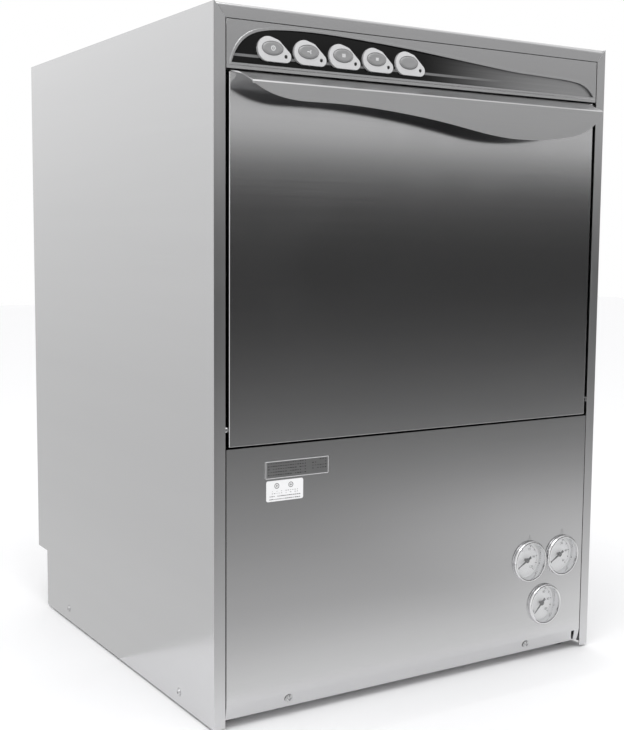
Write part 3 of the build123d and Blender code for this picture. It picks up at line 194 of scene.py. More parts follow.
# %% Brushed grain group
FLOAT, VECTOR, COLOUR = "NodeSocketFloat", "NodeSocketVector", "NodeSocketColor"


def brushed_grain():
    """Streaks: Grain Scale sets how often they change along each axis, per metre."""
    tree, start, end = new_group(
        "brushed_grain",
        [("Grain Scale", VECTOR, (6, 6, 900)), ("Band Scale", VECTOR, (1, 1, 30))],
        [("Streaks", FLOAT), ("Bands", FLOAT)])
    place_in = add(tree, "ShaderNodeTexCoord")
    for label, scale, detail in (("Streaks", "Grain Scale", 3.0), ("Bands", "Band Scale", 2.0)):
        stretch = add(tree, "ShaderNodeVectorMath", operation="MULTIPLY")
        join(tree, place_in, "Object", stretch, 0)
        join(tree, start, scale, stretch, 1)
        noise = add(tree, "ShaderNodeTexNoise", Scale=1.0, Detail=detail)
        join(tree, stretch, 0, noise, "Vector")
        join(tree, noise, "Fac", end, label)
    return tree


BRUSHED = brushed_grain()
print("group:", BRUSHED.name, [s.name for s in BRUSHED.interface.items_tree])

# %% [markdown]
# ## Handling smudges
# Steel that people touch has soft cloudy patches, which are a little rougher than the clean
# sheet. A low noise with its middle cut out gives separate patches instead of an even haze.

# %% Smudge group
PATCH_EDGE = 5.0  # how fast a patch fades in


def smudges():
    """Soft patches between 0 and 1; Patch Size is in metres, Cover is how much they fill."""
    tree, start, end = new_group("smudges", [("Patch Size", FLOAT, 0.08), ("Cover", FLOAT, 0.5)],
                                 [("Patches", FLOAT)])
    place_in = add(tree, "ShaderNodeTexCoord")
    noise = add(tree, "ShaderNodeTexNoise", Detail=4.0, Roughness=0.55, Distortion=0.6)
    join(tree, place_in, "Object", noise, "Vector")
    scale = math_node(tree, "DIVIDE", 1.0, start.outputs["Patch Size"])
    tree.links.new(scale, noise.inputs["Scale"])
    low = math_node(tree, "SUBTRACT", 1.0, start.outputs["Cover"])
    cut = math_node(tree, "MULTIPLY", low, 0.9)
    above = math_node(tree, "SUBTRACT", noise.outputs["Fac"], cut)
    patches = add(tree, "ShaderNodeMath", operation="MULTIPLY", use_clamp=True)
    patches.inputs[1].default_value = PATCH_EDGE
    tree.links.new(above, patches.inputs[0])
    tree.links.new(patches.outputs[0], end.inputs["Patches"])
    return tree


SMUDGES = smudges()
print("group:", SMUDGES.name)

# %% [markdown]
# ## Moulded skin
# Moulded plastic and rubber carry a fine spark-eroded texture and slight flow marks. The
# group puts out a height for bump and a tone for colour.

# %% Moulded skin group
def moulded_skin():
    """Fine pebbles as a height, and slow clouds as a tone."""
    tree, start, end = new_group("moulded_skin",
                                 [("Pebbles", FLOAT, 2500.0), ("Clouds", FLOAT, 30.0)],
                                 [("Height", FLOAT), ("Tone", FLOAT)])
    place_in = add(tree, "ShaderNodeTexCoord")
    for label, scale, detail in (("Height", "Pebbles", 1.0), ("Tone", "Clouds", 4.0)):
        noise = add(tree, "ShaderNodeTexNoise", Detail=detail)
        join(tree, place_in, "Object", noise, "Vector")
        join(tree, start, scale, noise, "Scale")
        join(tree, noise, "Fac", end, label)
    return tree


MOULDED = moulded_skin()
print("group:", MOULDED.name)

# %% [markdown]
# ## Metal sheet materials
# All the metals share one recipe: a principled shader with the grain in its colour, roughness
# and bump, and the smudges in its roughness. Sheet brushed along the front blurs reflections
# up and down, so the anisotropy is turned a quarter from the level tangent.

# %% Metal recipe
def grey(value):
    """A neutral colour."""
    return (value, value, value * 1.01)


def new_material(name):
    """A material with only its principled shader and output."""
    material = bpy.data.materials.new(name)
    material.use_nodes = True
    return material, material.node_tree, material.node_tree.nodes["Principled BSDF"]


def mix_colours(tree, factor, first, second):
    """A colour between two, by a value socket."""
    node = add(tree, "ShaderNodeMix", data_type="RGBA")
    tree.links.new(factor, node.inputs["Factor"])
    for socket in node.inputs:
        if socket.type == "RGBA" and socket.name == "A":
            socket.default_value = (*first, 1)
        if socket.type == "RGBA" and socket.name == "B":
            socket.default_value = (*second, 1)
    return [output for output in node.outputs if output.type == "RGBA"][0]


def scaled(tree, value, low, high):
    """A 0 to 1 value stretched to a range."""
    node = add(tree, "ShaderNodeMapRange", To_Min=low, To_Max=high)
    tree.links.new(value, node.inputs["Value"])
    return node.outputs["Result"]


def bump(tree, shader, height, distance, strength=1.0):
    """Feed a height to the shader's normal; the distance is in metres."""
    node = add(tree, "ShaderNodeBump", Strength=strength, Distance=distance)
    tree.links.new(height, node.inputs["Height"])
    join(tree, node, "Normal", shader, "Normal")


def metal(name, dark, light, rough, grain=(6, 6, 900), bands=(1, 1, 30), aniso=0.0,
          depth=2e-6, smudge=0.06, patch=0.09):
    """A metal with grain, bands and smudges."""
    material, tree, shader = new_material(name)
    brushed = place(tree, BRUSHED, Grain_Scale=grain, Band_Scale=bands)
    marks = place(tree, SMUDGES, Patch_Size=patch, Cover=0.5)
    tone = math_node(tree, "ADD", math_node(tree, "MULTIPLY", brushed.outputs["Streaks"], 0.6),
                     math_node(tree, "MULTIPLY", brushed.outputs["Bands"], 0.4))
    tree.links.new(mix_colours(tree, tone, dark, light), shader.inputs["Base Color"])
    roughness = scaled(tree, brushed.outputs["Streaks"], rough[0], rough[1])
    marked = math_node(tree, "MULTIPLY", marks.outputs["Patches"], smudge)
    tree.links.new(math_node(tree, "ADD", roughness, marked), shader.inputs["Roughness"])
    shader.inputs["Metallic"].default_value = 1.0
    if aniso:
        shader.inputs["Anisotropic"].default_value = aniso
        shader.inputs["Anisotropic Rotation"].default_value = 0.25
        tangent = add(tree, "ShaderNodeTangent", direction_type="RADIAL", axis="Z")
        join(tree, tangent, "Tangent", shader, "Tangent")
    bump(tree, shader, brushed.outputs["Streaks"], depth)
    return material


M = {}
M["stainless"] = metal("brushed_stainless", grey(0.585), grey(0.635), (0.15, 0.20),
                       grain=(3, 3, 700), aniso=0.45, depth=1e-6, smudge=0.012, patch=0.16)
M["flange_steel"] = metal("upright_brushed_steel", grey(0.60), grey(0.68), (0.30, 0.38),
                          grain=(700, 700, 3), bands=(30, 30, 1), depth=1e-6, smudge=0.02)
M["handle_steel"] = metal("handle_stainless", grey(0.58), grey(0.64), (0.26, 0.32),
                          grain=(3, 3, 700), depth=1e-6, smudge=0.02, patch=0.12)
M["tank_steel"] = metal("satin_tank_steel", grey(0.50), grey(0.62), (0.26, 0.38),
                        grain=(20, 20, 500))
M["hardware_steel"] = metal("bright_hardware_steel", grey(0.52), grey(0.64), (0.16, 0.28),
                            grain=(300, 300, 300), bands=(40, 40, 40))
M["boiler_steel"] = metal("welded_boiler_steel", (0.44, 0.43, 0.41), (0.60, 0.59, 0.57),
                          (0.28, 0.42), grain=(8, 8, 400), smudge=0.12)
M["inlet_brass"] = metal("turned_brass", (0.58, 0.43, 0.18), (0.74, 0.58, 0.28),
                         (0.18, 0.32), grain=(900, 60, 900), bands=(60, 20, 60))
M["bezel_chrome"] = metal("polished_chrome", grey(0.74), grey(0.80), (0.03, 0.08),
                          grain=(200, 200, 200), bands=(60, 60, 60),
                          depth=2e-7, smudge=0.05, patch=0.02)
M["plate_silver"] = metal("foil_plate", grey(0.36), grey(0.44), (0.34, 0.44),
                          grain=(30, 30, 1500))
print("metals:", sorted(M))

# %% [markdown]
# ## Plastics, rubber, paint and glass
# Coloured parts use the moulded skin for colour and bump. The values differ: the overlay is
# nearly a mirror, the keys are silver paint on plastic, the rubber is dull.

# %% Plastic recipe
def plastic(name, dark, light, rough, coat=0.0, pebbles=2500.0, depth=4e-6, metallic=0.0,
            smudge=0.05):
    """A moulded or painted finish."""
    material, tree, shader = new_material(name)
    skin = place(tree, MOULDED, Pebbles=pebbles, Clouds=30.0)
    marks = place(tree, SMUDGES, Patch_Size=0.03, Cover=0.5)
    tree.links.new(mix_colours(tree, skin.outputs["Tone"], dark, light),
                   shader.inputs["Base Color"])
    marked = math_node(tree, "MULTIPLY", marks.outputs["Patches"], smudge)
    roughness = scaled(tree, skin.outputs["Tone"], rough[0], rough[1])
    tree.links.new(math_node(tree, "ADD", roughness, marked), shader.inputs["Roughness"])
    shader.inputs["Metallic"].default_value = metallic
    shader.inputs["Coat Weight"].default_value = coat
    shader.inputs["Coat Roughness"].default_value = 0.05
    bump(tree, shader, skin.outputs["Height"], depth)
    return material


M["gloss_black"] = plastic("gloss_black_overlay", grey(0.006), grey(0.010), (0.06, 0.12),
                           coat=0.6, depth=3e-7)
M["key_silver"] = plastic("silver_key_plastic", grey(0.27), grey(0.33), (0.24, 0.32),
                          coat=0.25, depth=1e-6, metallic=0.2)
M["bezel_silver"] = plastic("silver_bezel_plastic", grey(0.62), grey(0.70), (0.26, 0.34),
                            coat=0.25, depth=1e-6, metallic=0.2)
M["lamp_dark"] = plastic("smoked_lamp", grey(0.010), grey(0.016), (0.10, 0.16), coat=0.5)
M["board_green"] = plastic("solder_mask_green", (0.015, 0.10, 0.05), (0.03, 0.16, 0.08),
                           (0.28, 0.40), coat=0.2)
M["arm_plastic"] = plastic("grey_spray_arm_plastic", grey(0.30), grey(0.38), (0.36, 0.48))
M["pump_plastic"] = plastic("black_pump_plastic", grey(0.020), grey(0.034), (0.38, 0.52))
M["motor_enamel"] = plastic("blue_grey_enamel", (0.035, 0.045, 0.06), (0.055, 0.068, 0.085),
                            (0.30, 0.42), coat=0.2, pebbles=900.0, depth=2e-5)
M["gasket_rubber"] = plastic("seal_rubber", grey(0.012), grey(0.022), (0.52, 0.66))
M["dial_white"] = plastic("printed_dial_white", grey(0.74), grey(0.80), (0.42, 0.52))
M["needle_black"] = plastic("needle_enamel", grey(0.012), grey(0.02), (0.26, 0.36), coat=0.3)
M["label_white"] = plastic("white_label_film", grey(0.80), grey(0.86), (0.34, 0.44))
M["foot_rubber"] = plastic("foot_rubber", grey(0.016), grey(0.03), (0.6, 0.75))


def clear_glass():
    """Thin clear glass: mostly see-through, with a gloss that grows at a glancing angle."""
    material, tree, shader = new_material("gauge_glass")
    skin = place(tree, MOULDED, Pebbles=300.0, Clouds=40.0)
    tree.links.new(scaled(tree, skin.outputs["Tone"], 0.02, 0.05), shader.inputs["Roughness"])
    shader.inputs["Base Color"].default_value = (0.94, 0.95, 0.96, 1)
    shader.inputs["IOR"].default_value = 1.45
    shader.inputs["Alpha"].default_value = 0.07
    return material


M["gauge_glass"] = clear_glass()
print("finishes:", len(M))

# %% [markdown]
# ## Every part gets its finish
# The record says which material slot each part has. A part whose shape is already right keeps
# its CAD mesh and only changes its material; the others are replaced further down.

# %% Assign the finishes
for node, slot in SLOT_OF.items():
    mesh = NODES[node].data
    mesh.materials.clear()
    mesh.materials.append(M[slot])
print("dressed", len(SLOT_OF), "parts")

# %% [markdown]
# ## Rounding folded sheet
# Real sheet never ends in a knife edge: each fold has a small radius that catches a thin line of
# light. The design's sheets are sharp, so a copy is cleaned and its edges are bevelled. The
# bevel width is chosen edge by edge, because an outer fold is rounder than a cut edge.

# %% Softened sheets
SHARP = math.radians(28)
MERGE = 2e-6  # points closer than this are one
FLAT = math.radians(1.0)


def clean_copy(node):
    """A bmesh of a CAD part with its doubles merged and its flat faces made whole."""
    bm = bmesh.new()
    bm.from_mesh(NODES[node].data)
    bmesh.ops.remove_doubles(bm, verts=bm.verts, dist=MERGE)
    bmesh.ops.dissolve_limit(bm, angle_limit=FLAT, verts=bm.verts, edges=bm.edges)
    return bm


def softened(node, widest, segments=2, slot=None, material=None, width_at=None):
    """A CAD part with rounded edges; width_at(edge) gives an edge's bevel width, and both
    widths are in millimetres."""
    bm = clean_copy(node)
    layer = bm.edges.layers.float.new("bevel_weight_edge")
    for edge in bm.edges:
        if len(edge.link_faces) == 2 and edge.calc_face_angle(0) > SHARP:
            edge[layer] = min(width_at(edge) / widest, 1.0) if width_at else 1.0
    obj = from_bmesh("looks_" + node, bm)
    bevel = obj.modifiers.new("edges", "BEVEL")
    bevel.limit_method = "WEIGHT"
    bevel.width = widest * MM
    bevel.segments = segments
    return settle(narrow_smooth(baked(obj)), node, slot, True, material)


def evaluated_mesh(obj):
    """What an object looks like after its modifiers, as a new mesh."""
    bpy.context.view_layer.update()
    depsgraph = bpy.context.evaluated_depsgraph_get()
    return bpy.data.meshes.new_from_object(obj.evaluated_get(depsgraph))


def baked(obj):
    """The object with its modifiers made into a plain mesh and removed."""
    mesh = evaluated_mesh(obj)
    obj.modifiers.clear()
    obj.data = mesh
    return obj


def narrow_smooth(obj, narrow=3 * MM):
    """Shade folds and bevels smooth and the broad flat faces flat."""
    mesh = obj.data
    for polygon in mesh.polygons:
        corners = [mesh.vertices[i].co for i in polygon.vertices]
        longest = max((a - b).length for a, b in zip(corners, corners[1:] + corners[:1]))
        polygon.use_smooth = polygon.area / max(longest, 1e-9) < narrow
    return obj


def middle(edge):
    """The middle point of an edge."""
    return (edge.verts[0].co + edge.verts[1].co) / 2


panel_low, panel_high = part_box("side_panel_left")
FRONT_Y = panel_low.y
HALF = -panel_low.x
SIDE_FOLD, FLANGE_EDGE, SIDE_EDGE = 1.1, 0.5, 0.2  # mm
LONG_EDGE = 0.3
FLANGE_WIDE = 10 * MM
HAIR = 0.1 * MM


def side_fold(edge):
    """Wide on the fold between a side and its front flange, narrow on the cut edges."""
    at = middle(edge)
    upright = abs(edge.verts[0].co.z - edge.verts[1].co.z) > LONG_EDGE
    if upright and abs(at.x) > HALF - HAIR and at.y < FRONT_Y + HAIR:
        return SIDE_FOLD
    if upright and abs(at.x) < HALF - FLANGE_WIDE and at.y < FRONT_Y + HAIR:
        return FLANGE_EDGE
    return SIDE_EDGE


for node in ("side_panel_left", "side_panel_right"):
    panel = softened(node, SIDE_FOLD, 3, width_at=side_fold)
    panel.data.materials.append(M["flange_steel"])
    for polygon in panel.data.polygons:
        if polygon.normal.y < -0.5 and polygon.center.y < FRONT_Y + 0.5 * MM:
            polygon.material_index = 1
for node, width in (("top_cover", 0.2), ("control_fascia", 0.4), ("door_outer_skin", 0.6),
                    ("lower_front_panel", 0.5), ("base_pan", 0.3), ("back_panel", 0.3)):
    softened(node, width, slot="stainless")
for node, width in (("key_lamps", 0.9), ("door_gasket", 1.6), ("rack_rails", 0.35)):
    softened(node, width, 3)
softened("door_handle", 0.7, 3, material=M["handle_steel"])

# %% [markdown]
# ## Rings of points
# Turned, moulded and pressed pieces are rings of points at changing sizes: a key is oval rings,
# a gauge bezel is round ones, a cross recess is a ring that dips four times. One helper builds
# them all, so each piece is only its profile and its outline.

# %% Ring builder
def rings(bm, profile, frame_of, outline=None, count=48, closed=True):
    """Join rings: profile is (size, along) pairs, frame_of(u, v, along) gives a point, and
    outline(angle, index) scales a ring. A size of 0 ends in one point."""
    rows = []
    for k, (size, along) in enumerate(profile):
        if size == 0:
            rows.append([bm.verts.new(frame_of(0, 0, along))])
            continue
        row = []
        for j in range(count):
            angle = 2 * math.pi * j / count
            reach = size * (outline(angle, k) if outline else 1.0)
            row.append(bm.verts.new(frame_of(reach * math.cos(angle), reach * math.sin(angle),
                                             along)))
        rows.append(row)
    pairs = list(zip(rows, rows[1:]))
    if closed and len(rows[0]) > 1:
        pairs.append((rows[-1], rows[0]))
    for first, second in pairs:
        stitch(bm, first, second, count)


def stitch(bm, first, second, count):
    """Faces between two rows of points; a row of one point closes a fan."""
    for j in range(count):
        k = (j + 1) % count
        corners = [first[j % len(first)], first[k % len(first)],
                   second[k % len(second)], second[j % len(second)]]
        corners = list(dict.fromkeys(corners))
        if len(corners) > 2:
            bm.faces.new(corners)


def outwards(bm):
    """Point the faces outwards, after merging doubles."""
    bmesh.ops.remove_doubles(bm, verts=bm.verts, dist=1e-6)
    bmesh.ops.recalc_face_normals(bm, faces=bm.faces)
    return bm


def facing_front(x, z):
    """Rings that face the front: along is measured from the front plane, forward is negative."""
    return lambda u, v, along: (x + u, FRONT_Y + along, z + v)


def standing(x, y):
    """Rings round an upright axis: along is the height."""
    return lambda u, v, along: (x + u, y + v, along)


def running_back(x, z):
    """Rings round an axis from front to back: along is Y."""
    return lambda u, v, along: (x + u, along, z + v)


def turned(name, parts, smooth=30):
    """One mesh from several (profile, frame, outline, count) rings, smooth below an angle."""
    bm = bmesh.new()
    for profile, frame_of, *rest in parts:
        outline = rest[0] if rest else None
        count = rest[1] if len(rest) > 1 else 48
        scaled_profile = [(size * MM, along * MM) for size, along in profile]
        rings(bm, scaled_profile, frame_of, outline, count, closed=profile[0][0] != 0)
    obj = from_bmesh(name, outwards(bm))
    obj.data.set_sharp_from_angle(angle=math.radians(smooth))
    return obj


print("ring tools ready")

# %% [markdown]
# ## Window overlay
# Behind the raised rim lies a gloss panel, printed dark on the left and silver to the right,
# with a pale stripe. The print is a ramp along X times a band in Z, under a clear coat.

# %% Graded overlay
FADE = (-0.02, 0.27)  # where along X the black turns to silver
STRIPE_HALF = (0.0012, 0.0018)


def graded_overlay():
    """Gloss black that turns to silver at the right, with a lighter stripe."""
    material, tree, shader = new_material("graded_overlay")
    where = add(tree, "ShaderNodeTexCoord")
    split = add(tree, "ShaderNodeSeparateXYZ")
    join(tree, where, "Object", split, "Vector")
    across = add(tree, "ShaderNodeMapRange", interpolation_type="SMOOTHSTEP",
                 From_Min=FADE[0], From_Max=FADE[1], To_Min=0.0, To_Max=1.0)
    tree.links.new(split.outputs["X"], across.inputs["Value"])
    rise = math_node(tree, "SUBTRACT", split.outputs["Z"], STRIPE_Z)
    off = math_node(tree, "ABSOLUTE", rise, 0)
    stripe = add(tree, "ShaderNodeMapRange", From_Min=STRIPE_HALF[0], From_Max=STRIPE_HALF[1],
                 To_Min=0.5, To_Max=0)
    tree.links.new(off, stripe.inputs["Value"])
    skin = place(tree, BRUSHED, Grain_Scale=(5, 5, 900), Band_Scale=(2, 2, 60))
    silver = math_node(tree, "MAXIMUM", across.outputs["Result"], stripe.outputs["Result"])
    streaks = scaled(tree, skin.outputs["Streaks"], 0.75, 1.2)
    streaked = math_node(tree, "MULTIPLY", silver, streaks)
    colour = mix_colours(tree, streaked, grey(0.004), grey(0.36))
    tree.links.new(colour, shader.inputs["Base Color"])
    tree.links.new(scaled(tree, streaked, 0.07, 0.24), shader.inputs["Roughness"])
    tree.links.new(scaled(tree, across.outputs["Result"], 0.0, 0.65), shader.inputs["Metallic"])
    shader.inputs["Coat Weight"].default_value = 0.1
    shader.inputs["Coat Roughness"].default_value = 0.05
    shader.inputs["Specular IOR Level"].default_value = 0.3
    bump(tree, shader, skin.outputs["Streaks"], 3e-7)
    return material


fascia_low, fascia_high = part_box("control_fascia")
STRIPE_Z = fascia_low.z + 16.0 * MM
M["graded_overlay"] = graded_overlay()
NODES["control_overlay"].data.materials[0] = M["graded_overlay"]
print("overlay stripe at", round(STRIPE_Z, 4))

# %% [markdown]
# ## Keys
# Each key is an oval cushion with a slight dish, printed with a plain sign. It rides on its own
# body, because it presses in. The drop-shaped bezel round it is one moulding with a soft edge.

# %% Keys and bezels
KEY_NODES = sorted(n for n in NODES if n.startswith("key_") and n[4:].isdigit())
KEY_RISE = [(0, 11.6), (13.0, 11.6), (14.0, 11.4), (14.0, 0.4), (13.95, -1.1), (13.6, -1.9),
            (12.7, -2.6), (11.2, -2.95), (9.0, -3.0), (6.0, -2.85), (3.0, -2.72), (0, -2.68)]
KEY_OVAL = 15.5 / 28.0


def oval(u_scale, v_scale, x, z):
    """Front-facing rings squeezed to an oval."""
    return lambda u, v, along: (x + u * u_scale, FRONT_Y + along, z + v * v_scale)


# The plain sign printed on each key, as bars (x, z, half x, half z) in millimetres.
SIGN_BARS = [[], [(0, 0, 2.6, 0.45), (2.2, 1.0, 0.45, 1.4), (2.2, -1.0, 0.45, 1.4)],
             [(-1.6, 0, 0.45, 2.0), (0, 0, 0.45, 2.0), (1.6, 0, 0.45, 2.0)],
             [(0, 1.2, 2.0, 0.4), (0, 0, 2.0, 0.4), (0, -1.2, 2.0, 0.4)], []]
SIGN_RING = [(2.9, -2.6), (2.9, -3.05), (2.1, -3.05), (2.1, -2.6)]
SIGN_STEM = (0.3, 1.3)
SIGN_Y = FRONT_Y - 2.75 * MM
STEM_Y = FRONT_Y - 2.8 * MM


def printed(bm, x, z, half_x, half_z, front, thick=0.25 * MM):
    """A thin raised print: a box on a front-facing surface."""
    made = bmesh.ops.create_cube(bm, size=1.0)
    for vert in made["verts"]:
        vert.co = Vector((x + vert.co.x * 2 * half_x, front + (vert.co.y - 0.5) * thick,
                          z + vert.co.z * 2 * half_z))


for i, node in enumerate(KEY_NODES):
    low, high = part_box(node)
    x, z = (low.x + high.x) / 2, (low.z + high.z) / 2
    face = turned(f"looks_{node}", [(KEY_RISE, oval(1.0, KEY_OVAL, x, z))], 40)
    settle(face, node, stands_in=True)
    bm = bmesh.new()
    for bar_x, bar_z, half_x, half_z in SIGN_BARS[i]:
        printed(bm, x + bar_x * MM, z + bar_z * MM, half_x * MM, half_z * MM, SIGN_Y)
    if i == 0:
        rings(bm, [(r * MM, y * MM) for r, y in SIGN_RING], facing_front(x, z), None, 32)
        printed(bm, x, z + SIGN_STEM[0] * MM, SIGN_STEM[0] * MM, SIGN_STEM[1] * MM, STEM_Y)
    if bm.verts:
        sign = from_bmesh(f"sign_{node}", outwards(bm), smooth=False)
        settle(sign, node, "label_white")
    else:
        bm.free()

softened("key_bezels", 1.0, 4, material=M["bezel_silver"])

# %% [markdown]
# ## Loose solids of a part
# One CAD part can hold several loose solids, such as three gauges or five lamps. Their boxes
# give the places for the detailed pieces, so nothing is measured twice.

# %% Places of loose solids
def islands(node):
    """The (lowest, highest) corners of a part's loose solids, from left to right."""
    bm = clean_copy(node)
    left = set(bm.verts)
    boxes = []
    while left:
        reach, found = [left.pop()], []
        while reach:
            vert = reach.pop()
            found.append(vert.co)
            near = {edge.other_vert(vert) for edge in vert.link_edges} & left
            left -= near
            reach.extend(near)
        boxes.append((Vector(map(min, zip(*found))), Vector(map(max, zip(*found)))))
    bm.free()
    return sorted(boxes, key=lambda box: [round(v, 5) for v in box[0]])


def box_middle(box):
    """The centre of a (low, high) box."""
    return (box[0] + box[1]) / 2


GAUGES = [box_middle(box) for box in islands("gauge_lenses")]
print("gauges at", [(round(c.x, 3), round(c.z, 3)) for c in GAUGES])

# %% [markdown]
# ## Repeats with Geometry Nodes
# Ticks, fins, bolts, nozzles and holes repeat, so three small trees place copies of a piece:
# on an arc, on a grid, and on given points with directions. Sizes are named inputs, the seed is
# fixed, and each result is realized into a plain mesh.

# %% Geometry Nodes tools
def open_tree(name, inputs):
    """A geometry tree with named inputs and one geometry output."""
    tree = bpy.data.node_groups.new(name, "GeometryNodeTree")
    tree.interface.new_socket("Geometry", in_out="OUTPUT", socket_type="NodeSocketGeometry")
    for label, kind in inputs:
        tree.interface.new_socket(label, in_out="INPUT", socket_type="NodeSocket" + kind)
    return tree, tree.nodes.new("NodeGroupInput"), tree.nodes.new("NodeGroupOutput")


def close_tree(tree, start, end, geometry):
    """Realize the copies, set their material and end the tree."""
    real = tree.nodes.new("GeometryNodeRealizeInstances")
    paint = tree.nodes.new("GeometryNodeSetMaterial")
    tree.links.new(geometry, real.inputs[0])
    join(tree, real, 0, paint, "Geometry")
    join(tree, start, "Material", paint, "Material")
    join(tree, paint, "Geometry", end, "Geometry")
    return tree


def vector_of(tree, x=0.0, y=0.0, z=0.0):
    """Combine numbers or sockets into a vector."""
    node = tree.nodes.new("ShaderNodeCombineXYZ")
    for label, value in (("X", x), ("Y", y), ("Z", z)):
        if isinstance(value, (int, float)):
            node.inputs[label].default_value = value
        else:
            tree.links.new(value, node.inputs[label])
    return node.outputs[0]


def grown(name, tree, **values):
    """Run a tree on an empty mesh and keep the result as a plain mesh object."""
    obj = link(bpy.data.objects.new(name, bpy.data.meshes.new(name)))
    modifier = obj.modifiers.new("grow", "NODES")
    modifier.node_group = tree
    for item in tree.interface.items_tree:
        if item.in_out == "INPUT":
            modifier[item.identifier] = values[item.name.replace(" ", "_")]
    return baked(obj)


def arc_tree():
    """Copies of a piece on an arc round the Y axis, turned with it; its X points outwards."""
    tree, start, end = open_tree("copies_on_arc", [
        ("Piece", "Object"), ("Count", "Int"), ("Radius", "Float"), ("First Angle", "Float"),
        ("Sweep", "Float"), ("Material", "Material")])
    line = add(tree, "GeometryNodeMeshLine")
    join(tree, start, "Count", line, "Count")
    number = add(tree, "GeometryNodeInputIndex")
    gaps = math_node(tree, "MAXIMUM", math_node(tree, "SUBTRACT", start.outputs["Count"], 1), 1)
    share = math_node(tree, "DIVIDE", number.outputs[0], gaps)
    angle = math_node(tree, "ADD", math_node(tree, "MULTIPLY", share, start.outputs["Sweep"]),
                      start.outputs["First Angle"])
    x = math_node(tree, "MULTIPLY", start.outputs["Radius"], math_node(tree, "COSINE", angle, 0))
    z = math_node(tree, "MULTIPLY", start.outputs["Radius"], math_node(tree, "SINE", angle, 0))
    move = add(tree, "GeometryNodeSetPosition")
    join(tree, line, 0, move, "Geometry")
    tree.links.new(vector_of(tree, x, 0.0, z), move.inputs["Position"])
    piece = add(tree, "GeometryNodeObjectInfo")
    join(tree, start, "Piece", piece, "Object")
    copies = add(tree, "GeometryNodeInstanceOnPoints")
    join(tree, move, 0, copies, "Points")
    join(tree, piece, "Geometry", copies, "Instance")
    turn = vector_of(tree, 0.0, math_node(tree, "MULTIPLY", angle, -1.0), 0.0)
    tree.links.new(turn, copies.inputs["Rotation"])
    return close_tree(tree, start, end, copies.outputs[0])


def grid_tree():
    """Copies of a piece on a level grid; Keep is the share that stays, Ragged their X scale."""
    tree, start, end = open_tree("copies_on_grid", [
        ("Piece", "Object"), ("Columns", "Int"), ("Rows", "Int"), ("Pitch X", "Float"),
        ("Pitch Y", "Float"), ("Keep", "Float"), ("Ragged", "Float"), ("Material", "Material")])
    grid = add(tree, "GeometryNodeMeshGrid")
    for size, count, pitch, across in (("Size X", "Columns", "Pitch X", "Vertices X"),
                                       ("Size Y", "Rows", "Pitch Y", "Vertices Y")):
        gaps = math_node(tree, "SUBTRACT", start.outputs[count], 1)
        tree.links.new(math_node(tree, "MULTIPLY", gaps, start.outputs[pitch]), grid.inputs[size])
        join(tree, start, count, grid, across)
    piece = add(tree, "GeometryNodeObjectInfo")
    join(tree, start, "Piece", piece, "Object")
    stay = add(tree, "FunctionNodeRandomValue", data_type="BOOLEAN")
    stay.inputs["Seed"].default_value = 4
    join(tree, start, "Keep", stay, "Probability")
    width = add(tree, "FunctionNodeRandomValue", data_type="FLOAT")
    width.inputs["Seed"].default_value = 9
    width.inputs[3].default_value = 1.0
    join(tree, start, "Ragged", width, 2)
    copies = add(tree, "GeometryNodeInstanceOnPoints")
    join(tree, grid, "Mesh", copies, "Points")
    join(tree, piece, "Geometry", copies, "Instance")
    tree.links.new([o for o in stay.outputs if o.type == "BOOLEAN"][0], copies.inputs["Selection"])
    widths = [o for o in width.outputs if o.type == "VALUE" and o.enabled][0]
    tree.links.new(vector_of(tree, widths, 1.0, 1.0), copies.inputs["Scale"])
    return close_tree(tree, start, end, copies.outputs[0])


def points_tree():
    """Copies of a piece on the points of a mesh, with the piece's Z along their facing."""
    tree, start, end = open_tree("copies_on_points", [
        ("Piece", "Object"), ("Places", "Object"), ("Material", "Material")])
    places = add(tree, "GeometryNodeObjectInfo")
    join(tree, start, "Places", places, "Object")
    piece = add(tree, "GeometryNodeObjectInfo")
    join(tree, start, "Piece", piece, "Object")
    facing = add(tree, "GeometryNodeInputNamedAttribute", data_type="FLOAT_VECTOR")
    facing.inputs["Name"].default_value = "facing"
    turn = add(tree, "FunctionNodeAlignRotationToVector", axis="Z")
    tree.links.new([o for o in facing.outputs if o.type == "VECTOR"][0], turn.inputs["Vector"])
    copies = add(tree, "GeometryNodeInstanceOnPoints")
    join(tree, places, "Geometry", copies, "Points")
    join(tree, piece, "Geometry", copies, "Instance")
    join(tree, turn, "Rotation", copies, "Rotation")
    return close_tree(tree, start, end, copies.outputs[0])


def place_mesh(name, spots):
    """Loose points with a facing vector each: spots are (place, direction)."""
    mesh = bpy.data.meshes.new(name)
    mesh.from_pydata([place for place, _ in spots], [], [])
    facing = mesh.attributes.new("facing", "FLOAT_VECTOR", "POINT")
    for value, (_, direction) in zip(facing.data, spots):
        value.vector = direction
    return link(bpy.data.objects.new(name, mesh))


def small_box(name, x, y, z, centre=(0, 0, 0)):
    """A box to be repeated, with the given sizes."""
    bm = bmesh.new()
    spread = Matrix.Translation(centre) @ Matrix.Diagonal((x, y, z, 1))
    bmesh.ops.create_cube(bm, size=1.0, matrix=spread)
    return from_bmesh(name, bm, smooth=False)


def drop(*objects):
    """Remove pieces that only served as a pattern."""
    for obj in objects:
        bpy.data.objects.remove(obj)


def moved(obj, matrix):
    """Put a finished mesh in place."""
    obj.data.transform(matrix)
    return obj


def fused(name, objects):
    """Join plain meshes into one object, keeping their shading."""
    first = objects[0]
    with bpy.context.temp_override(active_object=first, selected_objects=objects,
                                   selected_editable_objects=objects):
        bpy.ops.object.join()
    first.name = name
    return first


ARC, GRID, POINTS = arc_tree(), grid_tree(), points_tree()
print("trees:", ARC.name, GRID.name, POINTS.name)

